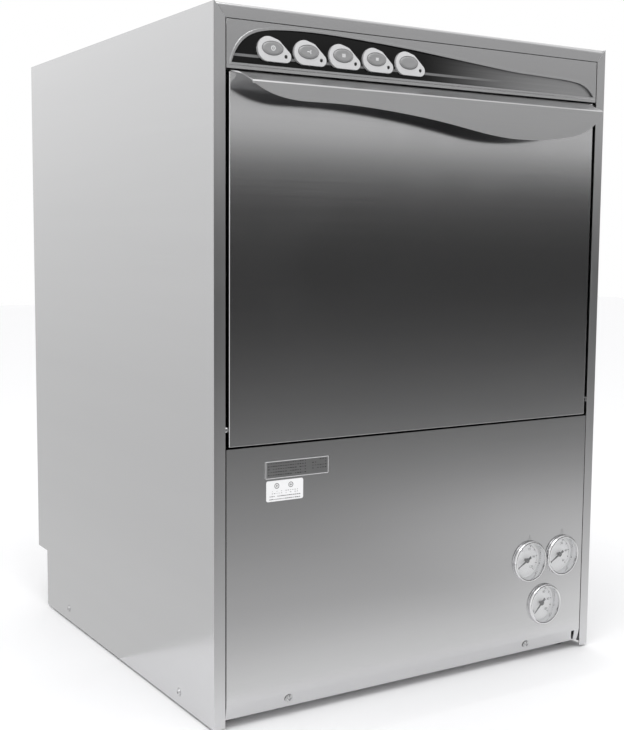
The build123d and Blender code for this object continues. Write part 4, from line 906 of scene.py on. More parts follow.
# %% [markdown]
# ## Gauges
# Each gauge is a chrome bezel over a case, a white dial with printed ticks and numbers, a black
# needle on its own body and a glass. Bezel, case and glass are turned shapes; the ticks come
# from the arc tree; the numbers are text made into a mesh.

# %% Gauge cases, glasses and dials
GAUGE_CASE = [(0, 38), (25.6, 38), (26.9, 36.6), (27, 0), (28.8, 0), (29, -0.5), (29, -2.6),
              (28.6, -3.8), (27.8, -4.7), (26.7, -5), (25.8, -4.7), (25.5, -3.9), (25.4, 9.0),
              (0, 9.2)]
GAUGE_GLASS = [(0, -3.9), (14, -3.8), (22, -3.6), (25.3, -3.3), (25.3, -2.3), (0, -2.3)]
DIAL_DISC = [(0, 8.1), (24.0, 8.0), (25.1, 7.2), (25.3, 7.4), (25.3, 8.9), (0, 9)]
for node, profile, count in (("gauge_cases", GAUGE_CASE, 72), ("gauge_lenses", GAUGE_GLASS, 48),
                             ("gauge_dials", DIAL_DISC, 48)):
    shapes = [(profile, facing_front(c.x, c.z), None, count) for c in GAUGES]
    settle(turned("looks_" + node, shapes), node, stands_in=True)

DIAL_START, DIAL_SWEEP = math.radians(-45), math.radians(270)
DIAL_TOPS = (120, 100, 60)
DIAL_PARTS = 5
TICKS = ((55, 1.8, 0.26), (11, 3.2, 0.7))  # how many, how long and how wide in mm
TICK_R, NUMBER_R, NUMBER_TALL = 22.5 * MM, 16 * MM, 4.8 * MM
INK_Y = FRONT_Y + 7.95 * MM
STAND = Matrix.Rotation(math.pi / 2, 4, "X")


def baked_curve(obj):
    """Text or a curve as a plain mesh object."""
    plain = link(bpy.data.objects.new(obj.name + "_mesh", evaluated_mesh(obj)))
    bpy.data.objects.remove(obj)
    return plain


def dial_number(text, x, z):
    """A printed number that faces the front."""
    curve = bpy.data.curves.new("number", "FONT")
    curve.body = text
    curve.size = NUMBER_TALL
    curve.align_x = "CENTER"
    curve.align_y = "CENTER"
    curve.extrude = 0.03 * MM
    curve.resolution_u = 3
    obj = baked_curve(link(bpy.data.objects.new("number_" + text, curve)))
    return moved(obj, Matrix.Translation((x, INK_Y, z)) @ STAND)


prints = []
for c, top in zip(GAUGES, DIAL_TOPS):
    for count, long, wide in TICKS:
        tick = small_box("tick", long * MM, 0.08 * MM, wide * MM, (-long / 2 * MM, 0, 0))
        ring = grown("ticks", ARC, Piece=tick, Count=count, Radius=TICK_R,
                     First_Angle=DIAL_START, Sweep=DIAL_SWEEP, Material=M["needle_black"])
        drop(tick)
        prints.append(moved(ring, Matrix.Translation((c.x, INK_Y, c.z))))
    for k in range(DIAL_PARTS + 1):
        angle = DIAL_START + DIAL_SWEEP * (DIAL_PARTS - k) / DIAL_PARTS
        prints.append(dial_number(str(top * k // DIAL_PARTS), c.x + NUMBER_R * math.cos(angle),
                                  c.z + NUMBER_R * math.sin(angle)))
settle(fused("dial_print", prints), "gauge_dials", "needle_black")

for node in ("gauge_needle_1", "gauge_needle_2", "gauge_needle_3"):
    softened(node, 0.15)

# %% [markdown]
# ## Screws
# Pan-head screws with a washer and a cross recess hold the front lip, the sides and the back.
# The recess is a ring whose outline dips between its four arms. One screw is built and the
# points tree sets it at every place, turned to face outwards.

# %% Panel screws
SCREW_PROFILE = [(0, -9), (1.6, -9), (2.4, -7.8), (2.4, -0.05), (5.5, -0.05), (5.5, 0.35),
                 (5.2, 0.5), (4.4, 0.55), (4.2, 1.2), (2.6, 1.7), (2.5, 1.7), (2.0, 0.6), (0, 0.4)]
CROSS_FROM, ARM_HALF = 9, 0.30


def cross(angle, k):
    """Round outside, a four-armed cross for the last rings of the head."""
    if k < CROSS_FROM:
        return 1.0
    fold = abs((angle + math.pi / 4) % (math.pi / 2) - math.pi / 4)
    return min(1.0, ARM_HALF / max(math.sin(fold), 1e-6))


screw = turned("screw", [(SCREW_PROFILE, standing(0, 0), cross, 32)])
spots = []
for box in islands("panel_screws"):
    centre, size = box_middle(box), box[1] - box[0]
    if size.x > size.z + MM or abs(centre.x) > HALF - 8 * MM and centre.y < 0.25:
        side = math.copysign(1, centre.x)
        spots.append(((side * HALF, centre.y, centre.z), (side, 0, 0)))
    elif centre.y < 0:
        spots.append(((centre.x, FRONT_Y + HAIR, centre.z), (0, -1, 0)))
    else:
        spots.append(((centre.x, panel_high.y, centre.z), (0, 1, 0)))
places = place_mesh("screw_places", spots)
screws = grown("looks_panel_screws", POINTS, Piece=screw, Places=places,
               Material=M["hardware_steel"])
drop(screw, places)
screws.data.set_sharp_from_angle(angle=math.radians(30))
settle(screws, "panel_screws", stands_in=True)
print("screws:", len(spots))

# %% [markdown]
# ## Plate and label
# A foil rating plate and a white label sit on the lower panel. They show only rows of plain
# marks, from the grid tree with a fixed seed, because a real plate's text isn't copied.

# %% Plate and label marks
LIFT, SUNK = 0.06 * MM, 0.02 * MM  # a print's thickness and how far its back is set in


def marks(name, node, x_share, z_share, columns, rows, size, keep, ragged, material):
    """Rows of short bars over part of a plate; shares run from the left and from the top."""
    low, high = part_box(node)
    wide, tall = high.x - low.x, high.z - low.z
    span_x, span_z = (x_share[1] - x_share[0]) * wide, (z_share[1] - z_share[0]) * tall
    pitch_x, pitch_y = span_x / max(columns - 1, 1), span_z / max(rows - 1, 1)
    bar = small_box("bar", size[0] * MM, size[1] * MM, LIFT)
    field = grown(name, GRID, Piece=bar, Columns=columns, Rows=rows, Pitch_X=pitch_x,
                  Pitch_Y=pitch_y, Keep=keep, Ragged=ragged, Material=material)
    drop(bar)
    centre = (low.x + wide * sum(x_share) / 2, low.y - SUNK,
              high.z - tall * sum(z_share) / 2)
    return moved(field, Matrix.Translation(centre) @ STAND)


softened("rating_plate", 0.2)
softened("instruction_label", 0.1)
dark, pale = M["needle_black"], M["label_white"]
plate, label = "rating_plate", "instruction_label"
plate_marks = fused("plate_marks", [
    marks("rows_left", plate, (0.06, 0.62), (0.14, 0.78), 16, 5, (2.6, 0.9), 0.9, 0.3, dark),
    marks("rows_right", plate, (0.74, 0.94), (0.14, 0.62), 6, 4, (2.4, 0.8), 0.6, 0.4, dark)])
settle(plate_marks, plate, "needle_black")
plate_edge = fused("plate_edge", [
    marks("edge_rows", plate, (0.5, 0.5), (0.04, 0.96), 1, 2, (88, 0.5), 1, 1, pale),
    marks("edge_ends", plate, (0.018, 0.982), (0.5, 0.5), 2, 1, (0.5, 20), 1, 1, pale)])
settle(plate_edge, plate, "label_white")
label_marks = [
    marks("label_lines", label, (0.16, 0.84), (0.52, 0.62), 12, 2, (1.9, 0.6), 0.7, 0.4, dark),
    marks("label_foot", label, (0.1, 0.9), (0.76, 0.9), 16, 2, (2.2, 1.0), 0.92, 0.5, dark)]
label_low, label_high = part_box(label)
SEAL_RING = [(3.3, -0.46), (3.3, -0.4), (2.6, -0.4), (2.6, -0.46)]
SEAL_SHARES, SEAL_DOWN, SEAL_Y = (0.28, 0.66), 6.6 * MM, FRONT_Y - 0.4 * MM
SEAL_BAR = (1.5 * MM, 0.35 * MM)
for share in SEAL_SHARES:
    x = label_low.x + share * (label_high.x - label_low.x)
    z = label_high.z - SEAL_DOWN
    bm = bmesh.new()
    rings(bm, [(r * MM, y * MM) for r, y in SEAL_RING], facing_front(x, z), None, 32)
    for half_x, half_z in (SEAL_BAR, SEAL_BAR[::-1]):
        printed(bm, x, z, half_x, half_z, SEAL_Y, LIFT)
    seal = from_bmesh("label_seal", outwards(bm), smooth=False)
    seal.data.materials.append(dark)
    label_marks.append(seal)
settle(fused("label_marks", label_marks), label, "needle_black")

SIGN_UP, SIGN_LINE_UP, BAR_PITCH, SIGN_LIFT = 35 * MM, 31.5 * MM, 3 * MM, 0.05 * MM
bm = bmesh.new()
for c, bars in ((GAUGES[0], 1), (GAUGES[-1], 2)):
    for k in range(bars):
        printed(bm, c.x + (k - (bars - 1) / 2) * BAR_PITCH, c.z + SIGN_UP, 0.35 * MM, 2.4 * MM,
                FRONT_Y, SIGN_LIFT)
    printed(bm, c.x, c.z + SIGN_LINE_UP, 3.5 * MM, 0.3 * MM, FRONT_Y, SIGN_LIFT)
settle(from_bmesh("gauge_signs", bm, smooth=False), "lower_front_panel", "plate_silver")

# %% [markdown]
# ## Wash chamber and door lining
# The chamber, the sump and the door's inner sheet are the same satin sheet. Their corners are
# rounded as pressed sheet is. The scrap screen is perforated, so it is built from small cells,
# each a square with a round hole, laid out by the grid tree.

# %% Chamber, sump and lining
for node, width in (("wash_tank", 0.5), ("tank_sump", 0.5), ("door_inner_skin", 0.5),
                    ("recess_shelf", 0.3), ("service_panel", 0.3)):
    softened(node, width, slot="tank_steel")
for node, width in (("hinge_pins", 0.6), ("hinge_brackets", 0.6), ("overflow_standpipe", 0.8)):
    softened(node, width, slot="hardware_steel")

CELL, HOLE_R, COLLAR, SCREEN_HEM = 7.0 * MM, 2.2 * MM, 9 * MM, 4 * MM
screen_low, screen_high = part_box("scrap_screen")
ARM_AT, PIPE_AT = box_middle(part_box("lower_wash_arm")), box_middle(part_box("overflow_standpipe"))
KEEP_CLEAR = [(ARM_AT.x, ARM_AT.y, 21 * MM), (PIPE_AT.x, PIPE_AT.y, 17 * MM)]
SQUARE = ((1, 0), (1, 1), (0, 1), (-1, 1), (-1, 0), (-1, -1), (0, -1), (1, -1))


def perforated_cell(bm, low, high):
    """A square of sheet with a round hole of eight sides."""
    rows = []
    for z in (low, high):
        square = [(dx * CELL / 2, dy * CELL / 2, z) for dx, dy in SQUARE]
        hole = [(HOLE_R * math.cos(k * math.pi / 4), HOLE_R * math.sin(k * math.pi / 4), z)
                for k in range(8)]
        rows.append(([bm.verts.new(v) for v in square], [bm.verts.new(v) for v in hole]))
    (low_square, low_hole), (high_square, high_hole) = rows
    for j in range(8):
        k = (j + 1) % 8
        bm.faces.new((high_square[j], high_square[k], high_hole[k], high_hole[j]))
        bm.faces.new((low_hole[j], low_hole[k], low_square[k], low_square[j]))
        bm.faces.new((high_hole[j], high_hole[k], low_hole[k], low_hole[j]))


cell_bm = bmesh.new()
perforated_cell(cell_bm, screen_low.z, screen_high.z)
cell = from_bmesh("screen_cell", cell_bm, smooth=False)
columns = int((screen_high.x - screen_low.x - SCREEN_HEM) / CELL)
rows = int((screen_high.y - screen_low.y - SCREEN_HEM) / CELL)
mesh_field = grown("screen_field", GRID, Piece=cell, Columns=columns, Rows=rows, Pitch_X=CELL,
                   Pitch_Y=CELL, Keep=1.0, Ragged=1.0, Material=M["tank_steel"])
drop(cell)
middle_x, middle_y = (screen_low.x + screen_high.x) / 2, (screen_low.y + screen_high.y) / 2
moved(mesh_field, Matrix.Translation((middle_x, middle_y, 0)))
bm = bmesh.new()
bm.from_mesh(mesh_field.data)
drop(mesh_field)
for x, y, radius in KEEP_CLEAR:
    near = [f for f in bm.faces if math.hypot(f.calc_center_median().x - x,
                                              f.calc_center_median().y - y) < radius + 5 * MM]
    bmesh.ops.delete(bm, geom=near, context="FACES")
bmesh.ops.remove_doubles(bm, verts=bm.verts, dist=0.02 * MM)
for x, y, radius in KEEP_CLEAR:
    collar = [(radius, screen_low.z), (radius, screen_high.z),
              (radius + COLLAR, screen_high.z), (radius + COLLAR, screen_low.z)]
    rings(bm, collar, standing(x, y), None, 32)
inner_x, inner_y = columns * CELL / 2 - HAIR, rows * CELL / 2 - HAIR
outer_x, outer_y = screen_high.x - middle_x, screen_high.y - middle_y
frame_rows = []
for z, x, y in ((screen_low.z, inner_x, inner_y), (screen_high.z, inner_x, inner_y),
                (screen_high.z, outer_x, outer_y), (screen_low.z, outer_x, outer_y)):
    frame_rows.append([bm.verts.new((middle_x + sx * x, middle_y + sy * y, z))
                       for sx, sy in ((1, 1), (-1, 1), (-1, -1), (1, -1))])
for first, second in zip(frame_rows, frame_rows[1:] + frame_rows[:1]):
    stitch(bm, first, second, 4)
bmesh.ops.recalc_face_normals(bm, faces=bm.faces)
screen = from_bmesh("looks_scrap_screen", bm, smooth=False)
settle(screen, "scrap_screen", stands_in=True)
print("screen cells:", columns, "by", rows)

# %% [markdown]
# ## Spray arms
# A wash arm is a moulded bar with rounded flanks and a row of nozzles; a rinse arm is a tube
# with fine nozzles. Each arm is lofted along its length and turned round its hub. Its nozzles
# are small turned cups placed by the points tree.

# %% Spray arms
def loft_arm(bm, box, wide, thick, square, stations=25, sides=24):
    """A bar along X with round ends; its section is a superellipse."""
    low, high = box
    centre, reach = (low + high) / 2, (high.x - low.x) / 2
    rows = [[bm.verts.new((low.x, centre.y, centre.z))]]
    for i in range(1, stations):
        t = -math.cos(math.pi * i / stations)
        taper = min(1.0, math.sqrt(max(1 - max(abs(t) * reach - reach + wide / 2, 0) ** 2
                                       / (wide / 2) ** 2, 0.0)))
        slim = taper * (1 - 0.18 * abs(t))
        row = []
        for j in range(sides):
            a = 2 * math.pi * j / sides
            c, d = math.cos(a), math.sin(a)
            y = math.copysign(abs(c) ** square, c) * wide / 2 * slim
            z = math.copysign(abs(d) ** square, d) * thick / 2 * (0.35 + 0.65 * taper)
            row.append(bm.verts.new((centre.x + t * reach, centre.y + y, centre.z + z)))
        rows.append(row)
    rows.append([bm.verts.new((high.x, centre.y, centre.z))])
    for first, second in zip(rows, rows[1:]):
        stitch(bm, first, second, sides)


def spray_arm(node, up, wide, square, nozzle_r, count, slot, bore, thick=12 * MM):
    """One arm with its hub, bore and nozzles; up tells which way it sprays."""
    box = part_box(node)
    centre, tall = box_middle(box), box[1].z - box[0].z
    hub_r = (box[1].y - box[0].y) / 2
    bm = bmesh.new()
    loft_arm(bm, box, wide, thick, square)
    low, high, edge = box[0].z, box[1].z, 1.5 * MM
    profile = [(bore, low), (hub_r - edge, low), (hub_r, low + edge), (hub_r, high - edge),
               (hub_r - edge, high), (bore, high)]
    rings(bm, profile, standing(centre.x, centre.y), None, 48)
    arm = from_bmesh(f"arm_{node}", outwards(bm))
    arm.data.set_sharp_from_angle(angle=math.radians(40))
    arm.data.materials.append(M[slot])
    cup = turned("nozzle", [([(nozzle_r, -1.0), (nozzle_r, 0.6), (nozzle_r * 0.8, 1.2),
                              (nozzle_r * 0.45, 1.2), (nozzle_r * 0.35, -0.4), (0, -0.5)],
                             standing(0, 0), None, 16)])
    reach = (box[1].x - box[0].x) / 2
    way = 1 if up else -1
    spots = []
    for side in (-1, 1):
        for k in range(count):
            x = side * (hub_r + 14 * MM + (reach - hub_r - 30 * MM) * k / (count - 1))
            lean = side * 0.25 * (k % 2)
            spots.append(((centre.x + x, centre.y + (k % 2 - 0.5) * wide * 0.25,
                           centre.z + way * thick * 0.47), (lean, 0, way)))
    places = place_mesh("nozzle_places", spots)
    nozzles = grown("nozzles", POINTS, Piece=cup, Places=places, Material=M["hardware_steel"])
    drop(cup, places)
    whole = fused(f"looks_{node}", [arm, nozzles])
    settle(whole, node, slot, True)


for node, up in (("lower_wash_arm", True), ("upper_wash_arm", False)):
    spray_arm(node, up, 38 * MM, 0.55, 3.4, 6, "arm_plastic", 12.1 * MM)
for node, up in (("lower_rinse_arm", True), ("upper_rinse_arm", False)):
    spray_arm(node, up, 12 * MM, 1.0, 1.9, 5, "hardware_steel", 8.1 * MM)

# %% [markdown]
# ## Door springs
# Each hinge has a torsion spring round its pin. One end of the real spring follows the cabinet and
# the other the door; here the coil is a plain helix of wire and is tied to neither body.

# %% Spring coils
def spring_tree():
    """A wire wound on X between two places; sizes are named inputs."""
    tree, start, end = open_tree("wound_wire", [
        ("Turns", "Float"), ("Coil Radius", "Float"), ("Length", "Float"), ("Wire", "Float"),
        ("Material", "Material")])
    coil = add(tree, "GeometryNodeCurveSpiral", Resolution=20)
    for label, source in (("Rotations", "Turns"), ("Start Radius", "Coil Radius"),
                          ("End Radius", "Coil Radius"), ("Height", "Length")):
        join(tree, start, source, coil, label)
    ring = add(tree, "GeometryNodeCurvePrimitiveCircle", Resolution=8)
    join(tree, start, "Wire", ring, "Radius")
    wire = add(tree, "GeometryNodeCurveToMesh")
    join(tree, coil, 0, wire, "Curve")
    join(tree, ring, 0, wire, "Profile Curve")
    wire.inputs["Fill Caps"].default_value = True
    lie = add(tree, "GeometryNodeTransform")
    join(tree, wire, 0, lie, "Geometry")
    lie.inputs["Rotation"].default_value = (0, math.pi / 2, 0)
    return close_tree(tree, start, end, lie.outputs[0])


SPRING = spring_tree()
WIRE_R, TURNS = 0.75 * MM, 4.5
for side, box in zip(("left", "right"), islands("door_springs")):
    low, high = box
    coil = grown(f"spring_{side}", SPRING, Turns=TURNS, Wire=WIRE_R,
                 Coil_Radius=(high.z - low.z) / 2 - WIRE_R,
                 Length=high.x - low.x - 2 * WIRE_R, Material=M["hardware_steel"])
    for polygon in coil.data.polygons:
        polygon.use_smooth = True
    moved(coil, Matrix.Translation((low.x + WIRE_R, box_middle(box).y, box_middle(box).z)))
    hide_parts("door_springs")
    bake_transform(coil)
    print(coil.name, len(coil.data.polygons), "faces")

# %% [markdown]
# ## Pump and motor
# The pump's volute is a moulding with bolts round its cover and ribs on its face; the motor has
# cooling fins along its body. The design's shapes stay under them with softened edges, and the
# arc tree sets the bolts, ribs and fins round each axis.

# %% Pump and motor details
def on_arc(name, piece, count, radius, place_at, slot, first=0.0, sweep=None, turn=None):
    """Copies round an axis at a place, evenly round the full circle unless a sweep is given;
    turn stands the axis up where it isn't front to back."""
    if sweep is None:
        sweep = 2 * math.pi * (count - 1) / count
    ring = grown(name, ARC, Piece=piece, Count=count, Radius=radius, First_Angle=first,
                 Sweep=sweep, Material=M[slot])
    drop(piece)
    return moved(ring, Matrix.Translation(place_at) @ (turn or Matrix.Identity(4)))


for node, width in (("wash_pump_casing", 1.2), ("wash_pump_motor", 1.5), ("pump_impeller", 0.6),
                    ("lower_manifold", 0.6), ("upper_manifold", 0.6), ("tank_heater", 0.5),
                    ("drain_pipe", 0.6), ("water_inlet", 0.5), ("cable_gland", 0.5),
                    ("doser_housing", 1.6), ("doser_rotor", 0.6), ("fill_valve", 1.4)):
    softened(node, width)

motor_low, motor_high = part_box("wash_pump_motor")
pump_low, pump_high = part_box("wash_pump_casing")
MOTOR_R = (motor_high.x - motor_low.x) / 2
AXIS = Vector(((motor_low.x + motor_high.x) / 2, 0, motor_high.z - MOTOR_R))
PUMP_R = AXIS.x - pump_low.x
FINS, BOLTS, RIBS = 34, 8, 12
fin = small_box("fin", 3.4 * MM, 104 * MM, 1.5 * MM, (1.6 * MM, 0, 0))
fins = on_arc("motor_fins", fin, FINS, MOTOR_R,
              (AXIS.x, (motor_low.y + motor_high.y) / 2, AXIS.z), "motor_enamel",
              math.radians(-48), math.radians(276))
settle(fins, "wash_pump_motor")
END_BELL = [(0, -1.5), (30, -1.5), (46, -0.5), (52.6, 0.6), (52.6, 7), (50, 7.2), (0, 7.2)]
bell = turned("motor_bell", [([(r, motor_high.y / MM - a) for r, a in END_BELL],
                              running_back(AXIS.x, AXIS.z))])
settle(bell, "wash_pump_motor")

PUMP_WIDE, BOLT_IN, RIB_R = 60 * MM, 7 * MM, 42 * MM
COVER_AT = (AXIS.x, motor_low.y - PUMP_WIDE, AXIS.z)
BOLT = [(0, 0.2), (4.6, 0.2), (4.6, -0.9), (3.9, -1.2), (3.9, -4.2), (3.3, -4.8), (0, -4.8)]
bolt = turned("bolt", [(BOLT, running_back(0, 0), None, 12)])
bolts = on_arc("pump_bolts", bolt, BOLTS, PUMP_R - BOLT_IN, COVER_AT, "hardware_steel",
               math.radians(112.5))
settle(bolts, "wash_pump_casing", "hardware_steel")
rib = small_box("rib", 34 * MM, 3 * MM, 2.4 * MM, (0, -1.4 * MM, 0))
settle(on_arc("pump_ribs", rib, RIBS, RIB_R, COVER_AT, "pump_plastic"), "wash_pump_casing")

# %% [markdown]
# ## Boiler, valve, inlet, gland and doser
# The boiler is a welded drum with two seams and a strap. The inlet's thread is a stack of
# ridges, the gland's nut has a domed clamp, the valve's coil has a label band, and the doser has
# a squeezed tube round its rotor.

# %% Service details
boiler_low, boiler_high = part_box("rinse_boiler")
softened("rinse_boiler", 0.8)
BOILER = box_middle((boiler_low, boiler_high))
BOILER_R = (boiler_high.x - boiler_low.x) / 2 / MM
SEAM_RING = [(-0.4, -2.4), (0.5, -1.6), (0.95, 0), (0.5, 1.6), (-0.4, 2.4)]
STRAP = [(-0.4, -9), (1.4, -9), (1.4, 9), (-0.4, 9)]
seams = [([(BOILER_R + r, z + a) for r, a in shape], standing(BOILER.x, BOILER.y), None, 64)
         for shape, z in ((SEAM_RING, 74), (SEAM_RING, 322), (STRAP, 150), (STRAP, 250))]
settle(turned("boiler_seams", seams), "rinse_boiler")

inlet_low, inlet_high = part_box("water_inlet")
INLET = box_middle((inlet_low, inlet_high))
ROOT_R, CREST_R, PITCH, RIDGES, LEAD = 13.0, 13.9, 1.8, 9, 3
ridges = []
for k in range(RIDGES):
    y = inlet_high.y / MM - LEAD - PITCH * k
    ridges.append(([(ROOT_R, y - 0.8), (CREST_R, y), (ROOT_R, y + 0.8)],
                   running_back(INLET.x, INLET.z), None, 48))
settle(turned("inlet_thread", ridges, 20), "water_inlet")

gland_low, gland_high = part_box("cable_gland")
GLAND = box_middle((gland_low, gland_high))
y = gland_high.y / MM
CLAMP = [(6.6, y), (8.6, y - 0.2), (9.9, y - 1.6), (10.9, y - 5), (11.0, y - 8.6), (9.9, y - 9)]
clamp = turned("gland_clamp", [(CLAMP + [(6.6, y - 9)], running_back(GLAND.x, GLAND.z), None, 48)])
settle(clamp, "cable_gland")
GRIPS, GRIP_R, GRIP_IN = 18, 10.9 * MM, 5.6 * MM
grip = small_box("grip", 1.2 * MM, 6 * MM, 1.3 * MM)
grips = on_arc("gland_grips", grip, GRIPS, GRIP_R, (GLAND.x, gland_high.y - GRIP_IN, GLAND.z),
               "pump_plastic")
settle(grips, "cable_gland")

valve_low, valve_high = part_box("fill_valve")
VALVE = box_middle((valve_low, valve_high))
top = valve_high.z / MM
COIL = [(15.8, top - 26), (17.2, top - 25.5), (17.2, top - 6), (15.8, top - 5.5)]
CAP = [(0, top + 1.6), (5.4, top + 1.6), (6.2, top + 0.8), (6.2, top - 0.2), (0, top - 0.3)]
upright = standing(VALVE.x, VALVE.y)
settle(turned("valve_coil", [(COIL, upright, None, 40), (CAP, upright, None, 6)]), "fill_valve",
       "board_green")


def hose(name, points, radius):
    """A round tube along a smooth line that follows the given points."""
    curve = bpy.data.curves.new(name, "CURVE")
    curve.dimensions = "3D"
    curve.bevel_depth = radius
    curve.bevel_resolution = 4
    curve.use_fill_caps = True
    spline = curve.splines.new("NURBS")
    spline.points.add(len(points) - 1)
    for point, place_at in zip(spline.points, points):
        point.co = (*place_at, 1)
    spline.order_u = 3
    spline.use_endpoint_u = True
    tube = baked_curve(link(bpy.data.objects.new(name, curve)))
    for polygon in tube.data.polygons:
        polygon.use_smooth = True
    return tube


doser_low, doser_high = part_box("doser_housing")
rotor_low, rotor_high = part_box("doser_rotor")
DOSER = Vector((box_middle((doser_low, doser_high)).x, rotor_low.y + 11 * MM,
                doser_high.z - 35 * MM))
ARC_R, TUBE_R, TUBE_HALF, TUBE_STEP = 24.6 * MM, 1.3 * MM, 130, 20
squeezed = [DOSER + Vector((ARC_R * math.sin(a), 0, ARC_R * math.cos(a)))
            for a in map(math.radians, range(-TUBE_HALF, TUBE_HALF + 1, TUBE_STEP))]
settle(hose("doser_tube", squeezed, TUBE_R), "doser_housing", "label_white")

# %% [markdown]
# ## Control board
# Behind the keys is a green circuit board. Small parts stand on it in rows from the grid tree,
# and every key has a switch body in the design already.

# %% Board parts
softened("control_board", 0.2)
board_low, board_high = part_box("control_board")
chip = small_box("chip", 5 * MM, 3 * MM, 2 * MM, (0, 0, 1 * MM))
chips = grown("board_chips", GRID, Piece=chip, Columns=18, Rows=2, Pitch_X=14 * MM,
              Pitch_Y=26 * MM, Keep=0.75, Ragged=0.5, Material=M["pump_plastic"])
drop(chip)
board_mid = box_middle((board_low, board_high))
moved(chips, Matrix.Translation((board_mid.x, board_high.y, board_mid.z))
      @ STAND.inverted())
settle(chips, "control_board", "pump_plastic")

# %% [markdown]
# ## Feet
# Each levelling foot is a threaded stud on a ribbed rubber pad. It rides on its own body, because
# it screws up and down.

# %% Feet
PAD = [(0, 0), (19.2, 0), (20, 0.8), (20, 4.4), (19.4, 5.8), (17.6, 7.2), (14, 8), (0, 8)]
STUD = [(0, 7.8), (6.0, 7.8)]
THREADS = 22
for k in range(THREADS):
    STUD += [(6.0, 8.0 + 2 * k), (5.35, 9.0 + 2 * k)]
STUD += [(5.3, 52), (0, 52)]
KNURLS, PAD_R, KNURL_Z = 28, 20 * MM, 2.6 * MM
for node in sorted(n for n in NODES if n.startswith("foot_")):
    low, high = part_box(node)
    centre = box_middle((low, high))
    hub = standing(centre.x, centre.y)
    foot = turned(f"looks_{node}", [(PAD, hub, None, 40)], 30)
    foot.data.materials.append(M["foot_rubber"])
    thread = turned("stud", [(STUD, hub, None, 24)], 20)
    thread.data.materials.append(M["hardware_steel"])
    rib = small_box("rib", 0.9 * MM, 3.2 * MM, 1.6 * MM, (-0.35 * MM, 0, 0))
    knurl = on_arc("knurl", rib, KNURLS, PAD_R, (centre.x, centre.y, KNURL_Z), "foot_rubber",
                   turn=STAND)
    settle(fused(f"looks_{node}", [foot, thread, knurl]), node, stands_in=True)

# %% [markdown]
# ## Studio
# Polished steel shows its surroundings, so the surroundings are the light: a white room, a pale
# floor, a large card in front of the machine, a darker sheet lying on the floor between the card
# and the machine, and a smaller pair on the machine's left. The sheet on the floor is painted
# shade: the door mirrors it as shaded floor. The front card is dark in the middle and bright in a
# band above, which the door mirrors as its long dark-to-light shading. All of it is staging, and
# the camera doesn't see the cards.

# %% Room, floor and cards
RIGHT_FROM, RIGHT_TO = 0.3, 0.8  # where along X the gain sets in


def glow(name, axis, stops, start, end, gain):
    """An emission that changes along one axis: stops are (place, brightness) from start to end.
    The gain brightens it towards the right."""
    material = bpy.data.materials.new(name)
    material.use_nodes = True
    tree = material.node_tree
    tree.nodes.clear()
    where = add(tree, "ShaderNodeTexCoord")
    split = add(tree, "ShaderNodeSeparateXYZ")
    join(tree, where, "Object", split, "Vector")
    ramp = add(tree, "ShaderNodeValToRGB")
    elements = ramp.color_ramp.elements
    while len(elements) < len(stops):
        elements.new(0.5)
    for element, (at, level) in zip(elements, stops):
        element.position = (at - start) / (end - start)
        element.color = (level, level, level, 1)
    along = math_node(tree, "SUBTRACT", split.outputs[axis], start)
    tree.links.new(math_node(tree, "DIVIDE", along, end - start), ramp.inputs["Fac"])
    right = add(tree, "ShaderNodeMapRange", From_Min=RIGHT_FROM, From_Max=RIGHT_TO, To_Min=1.0,
                To_Max=1 + gain)
    tree.links.new(split.outputs["X"], right.inputs["Value"])
    light = add(tree, "ShaderNodeEmission")
    join(tree, ramp, "Color", light, "Color")
    join(tree, right, "Result", light, "Strength")
    output = add(tree, "ShaderNodeOutputMaterial")
    join(tree, light, "Emission", output, "Surface")
    return material


def sheet_between(name, corners, material):
    """A flat four-cornered sheet for the stage."""
    bm = bmesh.new()
    bm.faces.new([bm.verts.new(corner) for corner in corners])
    obj = from_bmesh(name, bm, smooth=False)
    obj.data.materials.append(material)
    return obj


CARD_Y, CARD_TALL, CARD_LEFT, CARD_RIGHT, FLOOR_SHADE_BACK = -1.25, 3.0, -0.45, 2.6, -0.38
CARD_STOPS = [(0.0, 0.36), (0.05, 0.31), (0.12, 0.25), (0.18, 0.19), (0.25, 0.125), (0.34, 0.085),
              (0.43, 0.05), (0.52, 0.035), (0.60, 0.04), (0.66, 0.055), (0.71, 0.07),
              (0.755, 0.11), (0.785, 0.30), (0.82, 1.05), (0.86, 1.1), (0.885, 0.52),
              (0.93, 0.38), (0.985, 0.33), (1.03, 0.55), (1.07, 0.62), (1.12, 0.45), (1.5, 0.55),
              (3.0, 0.9)]
card = sheet_between("front_card", [(CARD_LEFT, CARD_Y, 0), (CARD_RIGHT, CARD_Y, 0),
                                    (CARD_RIGHT, CARD_Y, CARD_TALL),
                                    (CARD_LEFT, CARD_Y, CARD_TALL)],
                     glow("card_glow", "Z", CARD_STOPS, 0.0, CARD_TALL, 0.0))
# Painted shade: a graded dark sheet on the floor in front, seen only in reflections as shaded
# floor, lighter towards the machine and to the right.
FLOOR_SHADE_STOPS = [(-1.25, 0.34), (-1.05, 0.41), (-0.82, 0.50), (-0.63, 0.56), (-0.485, 0.78),
             (-0.38, 0.92)]
mat = sheet_between("floor_card", [(CARD_LEFT, CARD_Y, MM), (CARD_RIGHT, CARD_Y, MM),
                                   (CARD_RIGHT, FLOOR_SHADE_BACK, MM), (CARD_LEFT, FLOOR_SHADE_BACK, MM)],
                    glow("mat_glow", "Y", FLOOR_SHADE_STOPS, CARD_Y, FLOOR_SHADE_BACK, 0.5))
SIDE_X, SIDE_BACK, SIDE_TALL = -0.55, 1.6, 2
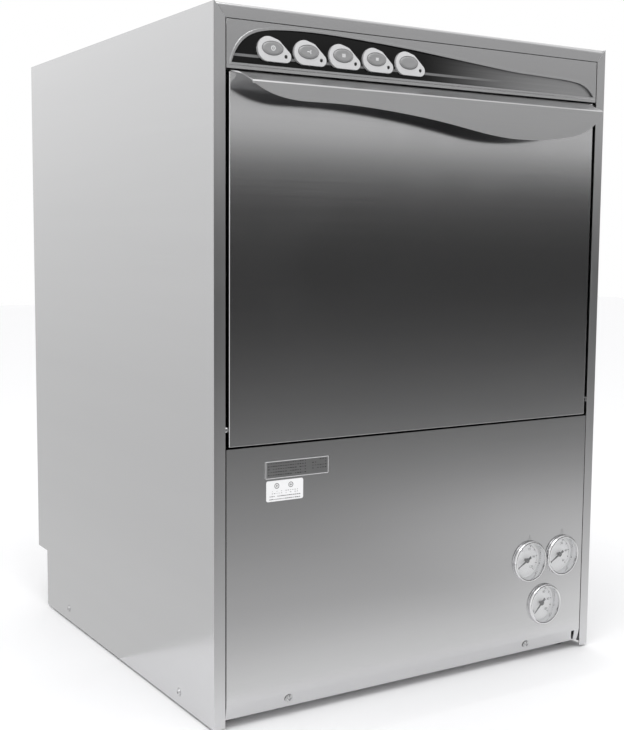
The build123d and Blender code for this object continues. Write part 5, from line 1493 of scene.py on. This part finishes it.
SIDE_STOPS = [(0.0, 0.74), (0.19, 0.74), (0.33, 0.76), (0.6, 0.85), (0.75, 0.93), (0.89, 1.0),
              (0.96, 1.05), (2.0, 1.08)]
side_card = sheet_between("side_card", [(SIDE_X, 0.0, 0), (SIDE_X, SIDE_BACK, 0),
                                        (SIDE_X, SIDE_BACK, SIDE_TALL), (SIDE_X, 0.0, SIDE_TALL)],
                          glow("side_glow", "Z", SIDE_STOPS, 0.0, SIDE_TALL, 0.0))
side_mat = sheet_between("side_mat", [(SIDE_X, 0.0, MM), (-HALF - MM, 0.0, MM),
                                      (-HALF - MM, SIDE_BACK, MM), (SIDE_X, SIDE_BACK, MM)],
                         glow("side_mat_glow", "Z", [(0, 0.76), (1, 0.76)], 0.0, 1.0, 0.0))
for sheet in (card, mat, side_card, side_mat):
    sheet.visible_camera = False
    sheet.visible_diffuse = False
    sheet.visible_shadow = False

floor_material = plastic("pale_floor", grey(0.95), grey(0.96), (0.7, 0.8))
FLOOR_HALF = 9.0
floor = sheet_between("floor", [(-FLOOR_HALF, -FLOOR_HALF, 0), (FLOOR_HALF, -FLOOR_HALF, 0),
                                (FLOOR_HALF, FLOOR_HALF, 0), (-FLOOR_HALF, FLOOR_HALF, 0)],
                      floor_material)

world = bpy.data.worlds.new("white_room")
world.use_nodes = True
world.node_tree.nodes["Background"].inputs["Color"].default_value = (1, 1, 1, 1)
world.node_tree.nodes["Background"].inputs["Strength"].default_value = 1.0
bpy.context.scene.world = world
bpy.context.scene.view_settings.view_transform = "Standard"


def soft_lamp(name, where, aim, size, power):
    """A large square lamp that points at a place."""
    data = bpy.data.lights.new(name, "AREA")
    data.size = size
    data.energy = power
    lamp = link(bpy.data.objects.new(name, data))
    lamp.location = where
    lamp.rotation_mode = "QUATERNION"
    lamp.rotation_quaternion = (Vector(aim) - Vector(where)).to_track_quat("-Z", "Y")
    return lamp


soft_lamp("overhead_lamp", (-0.6, -0.8, 2.6), (0, 0, 0.4), 1.6, 22)
print("stage ready")
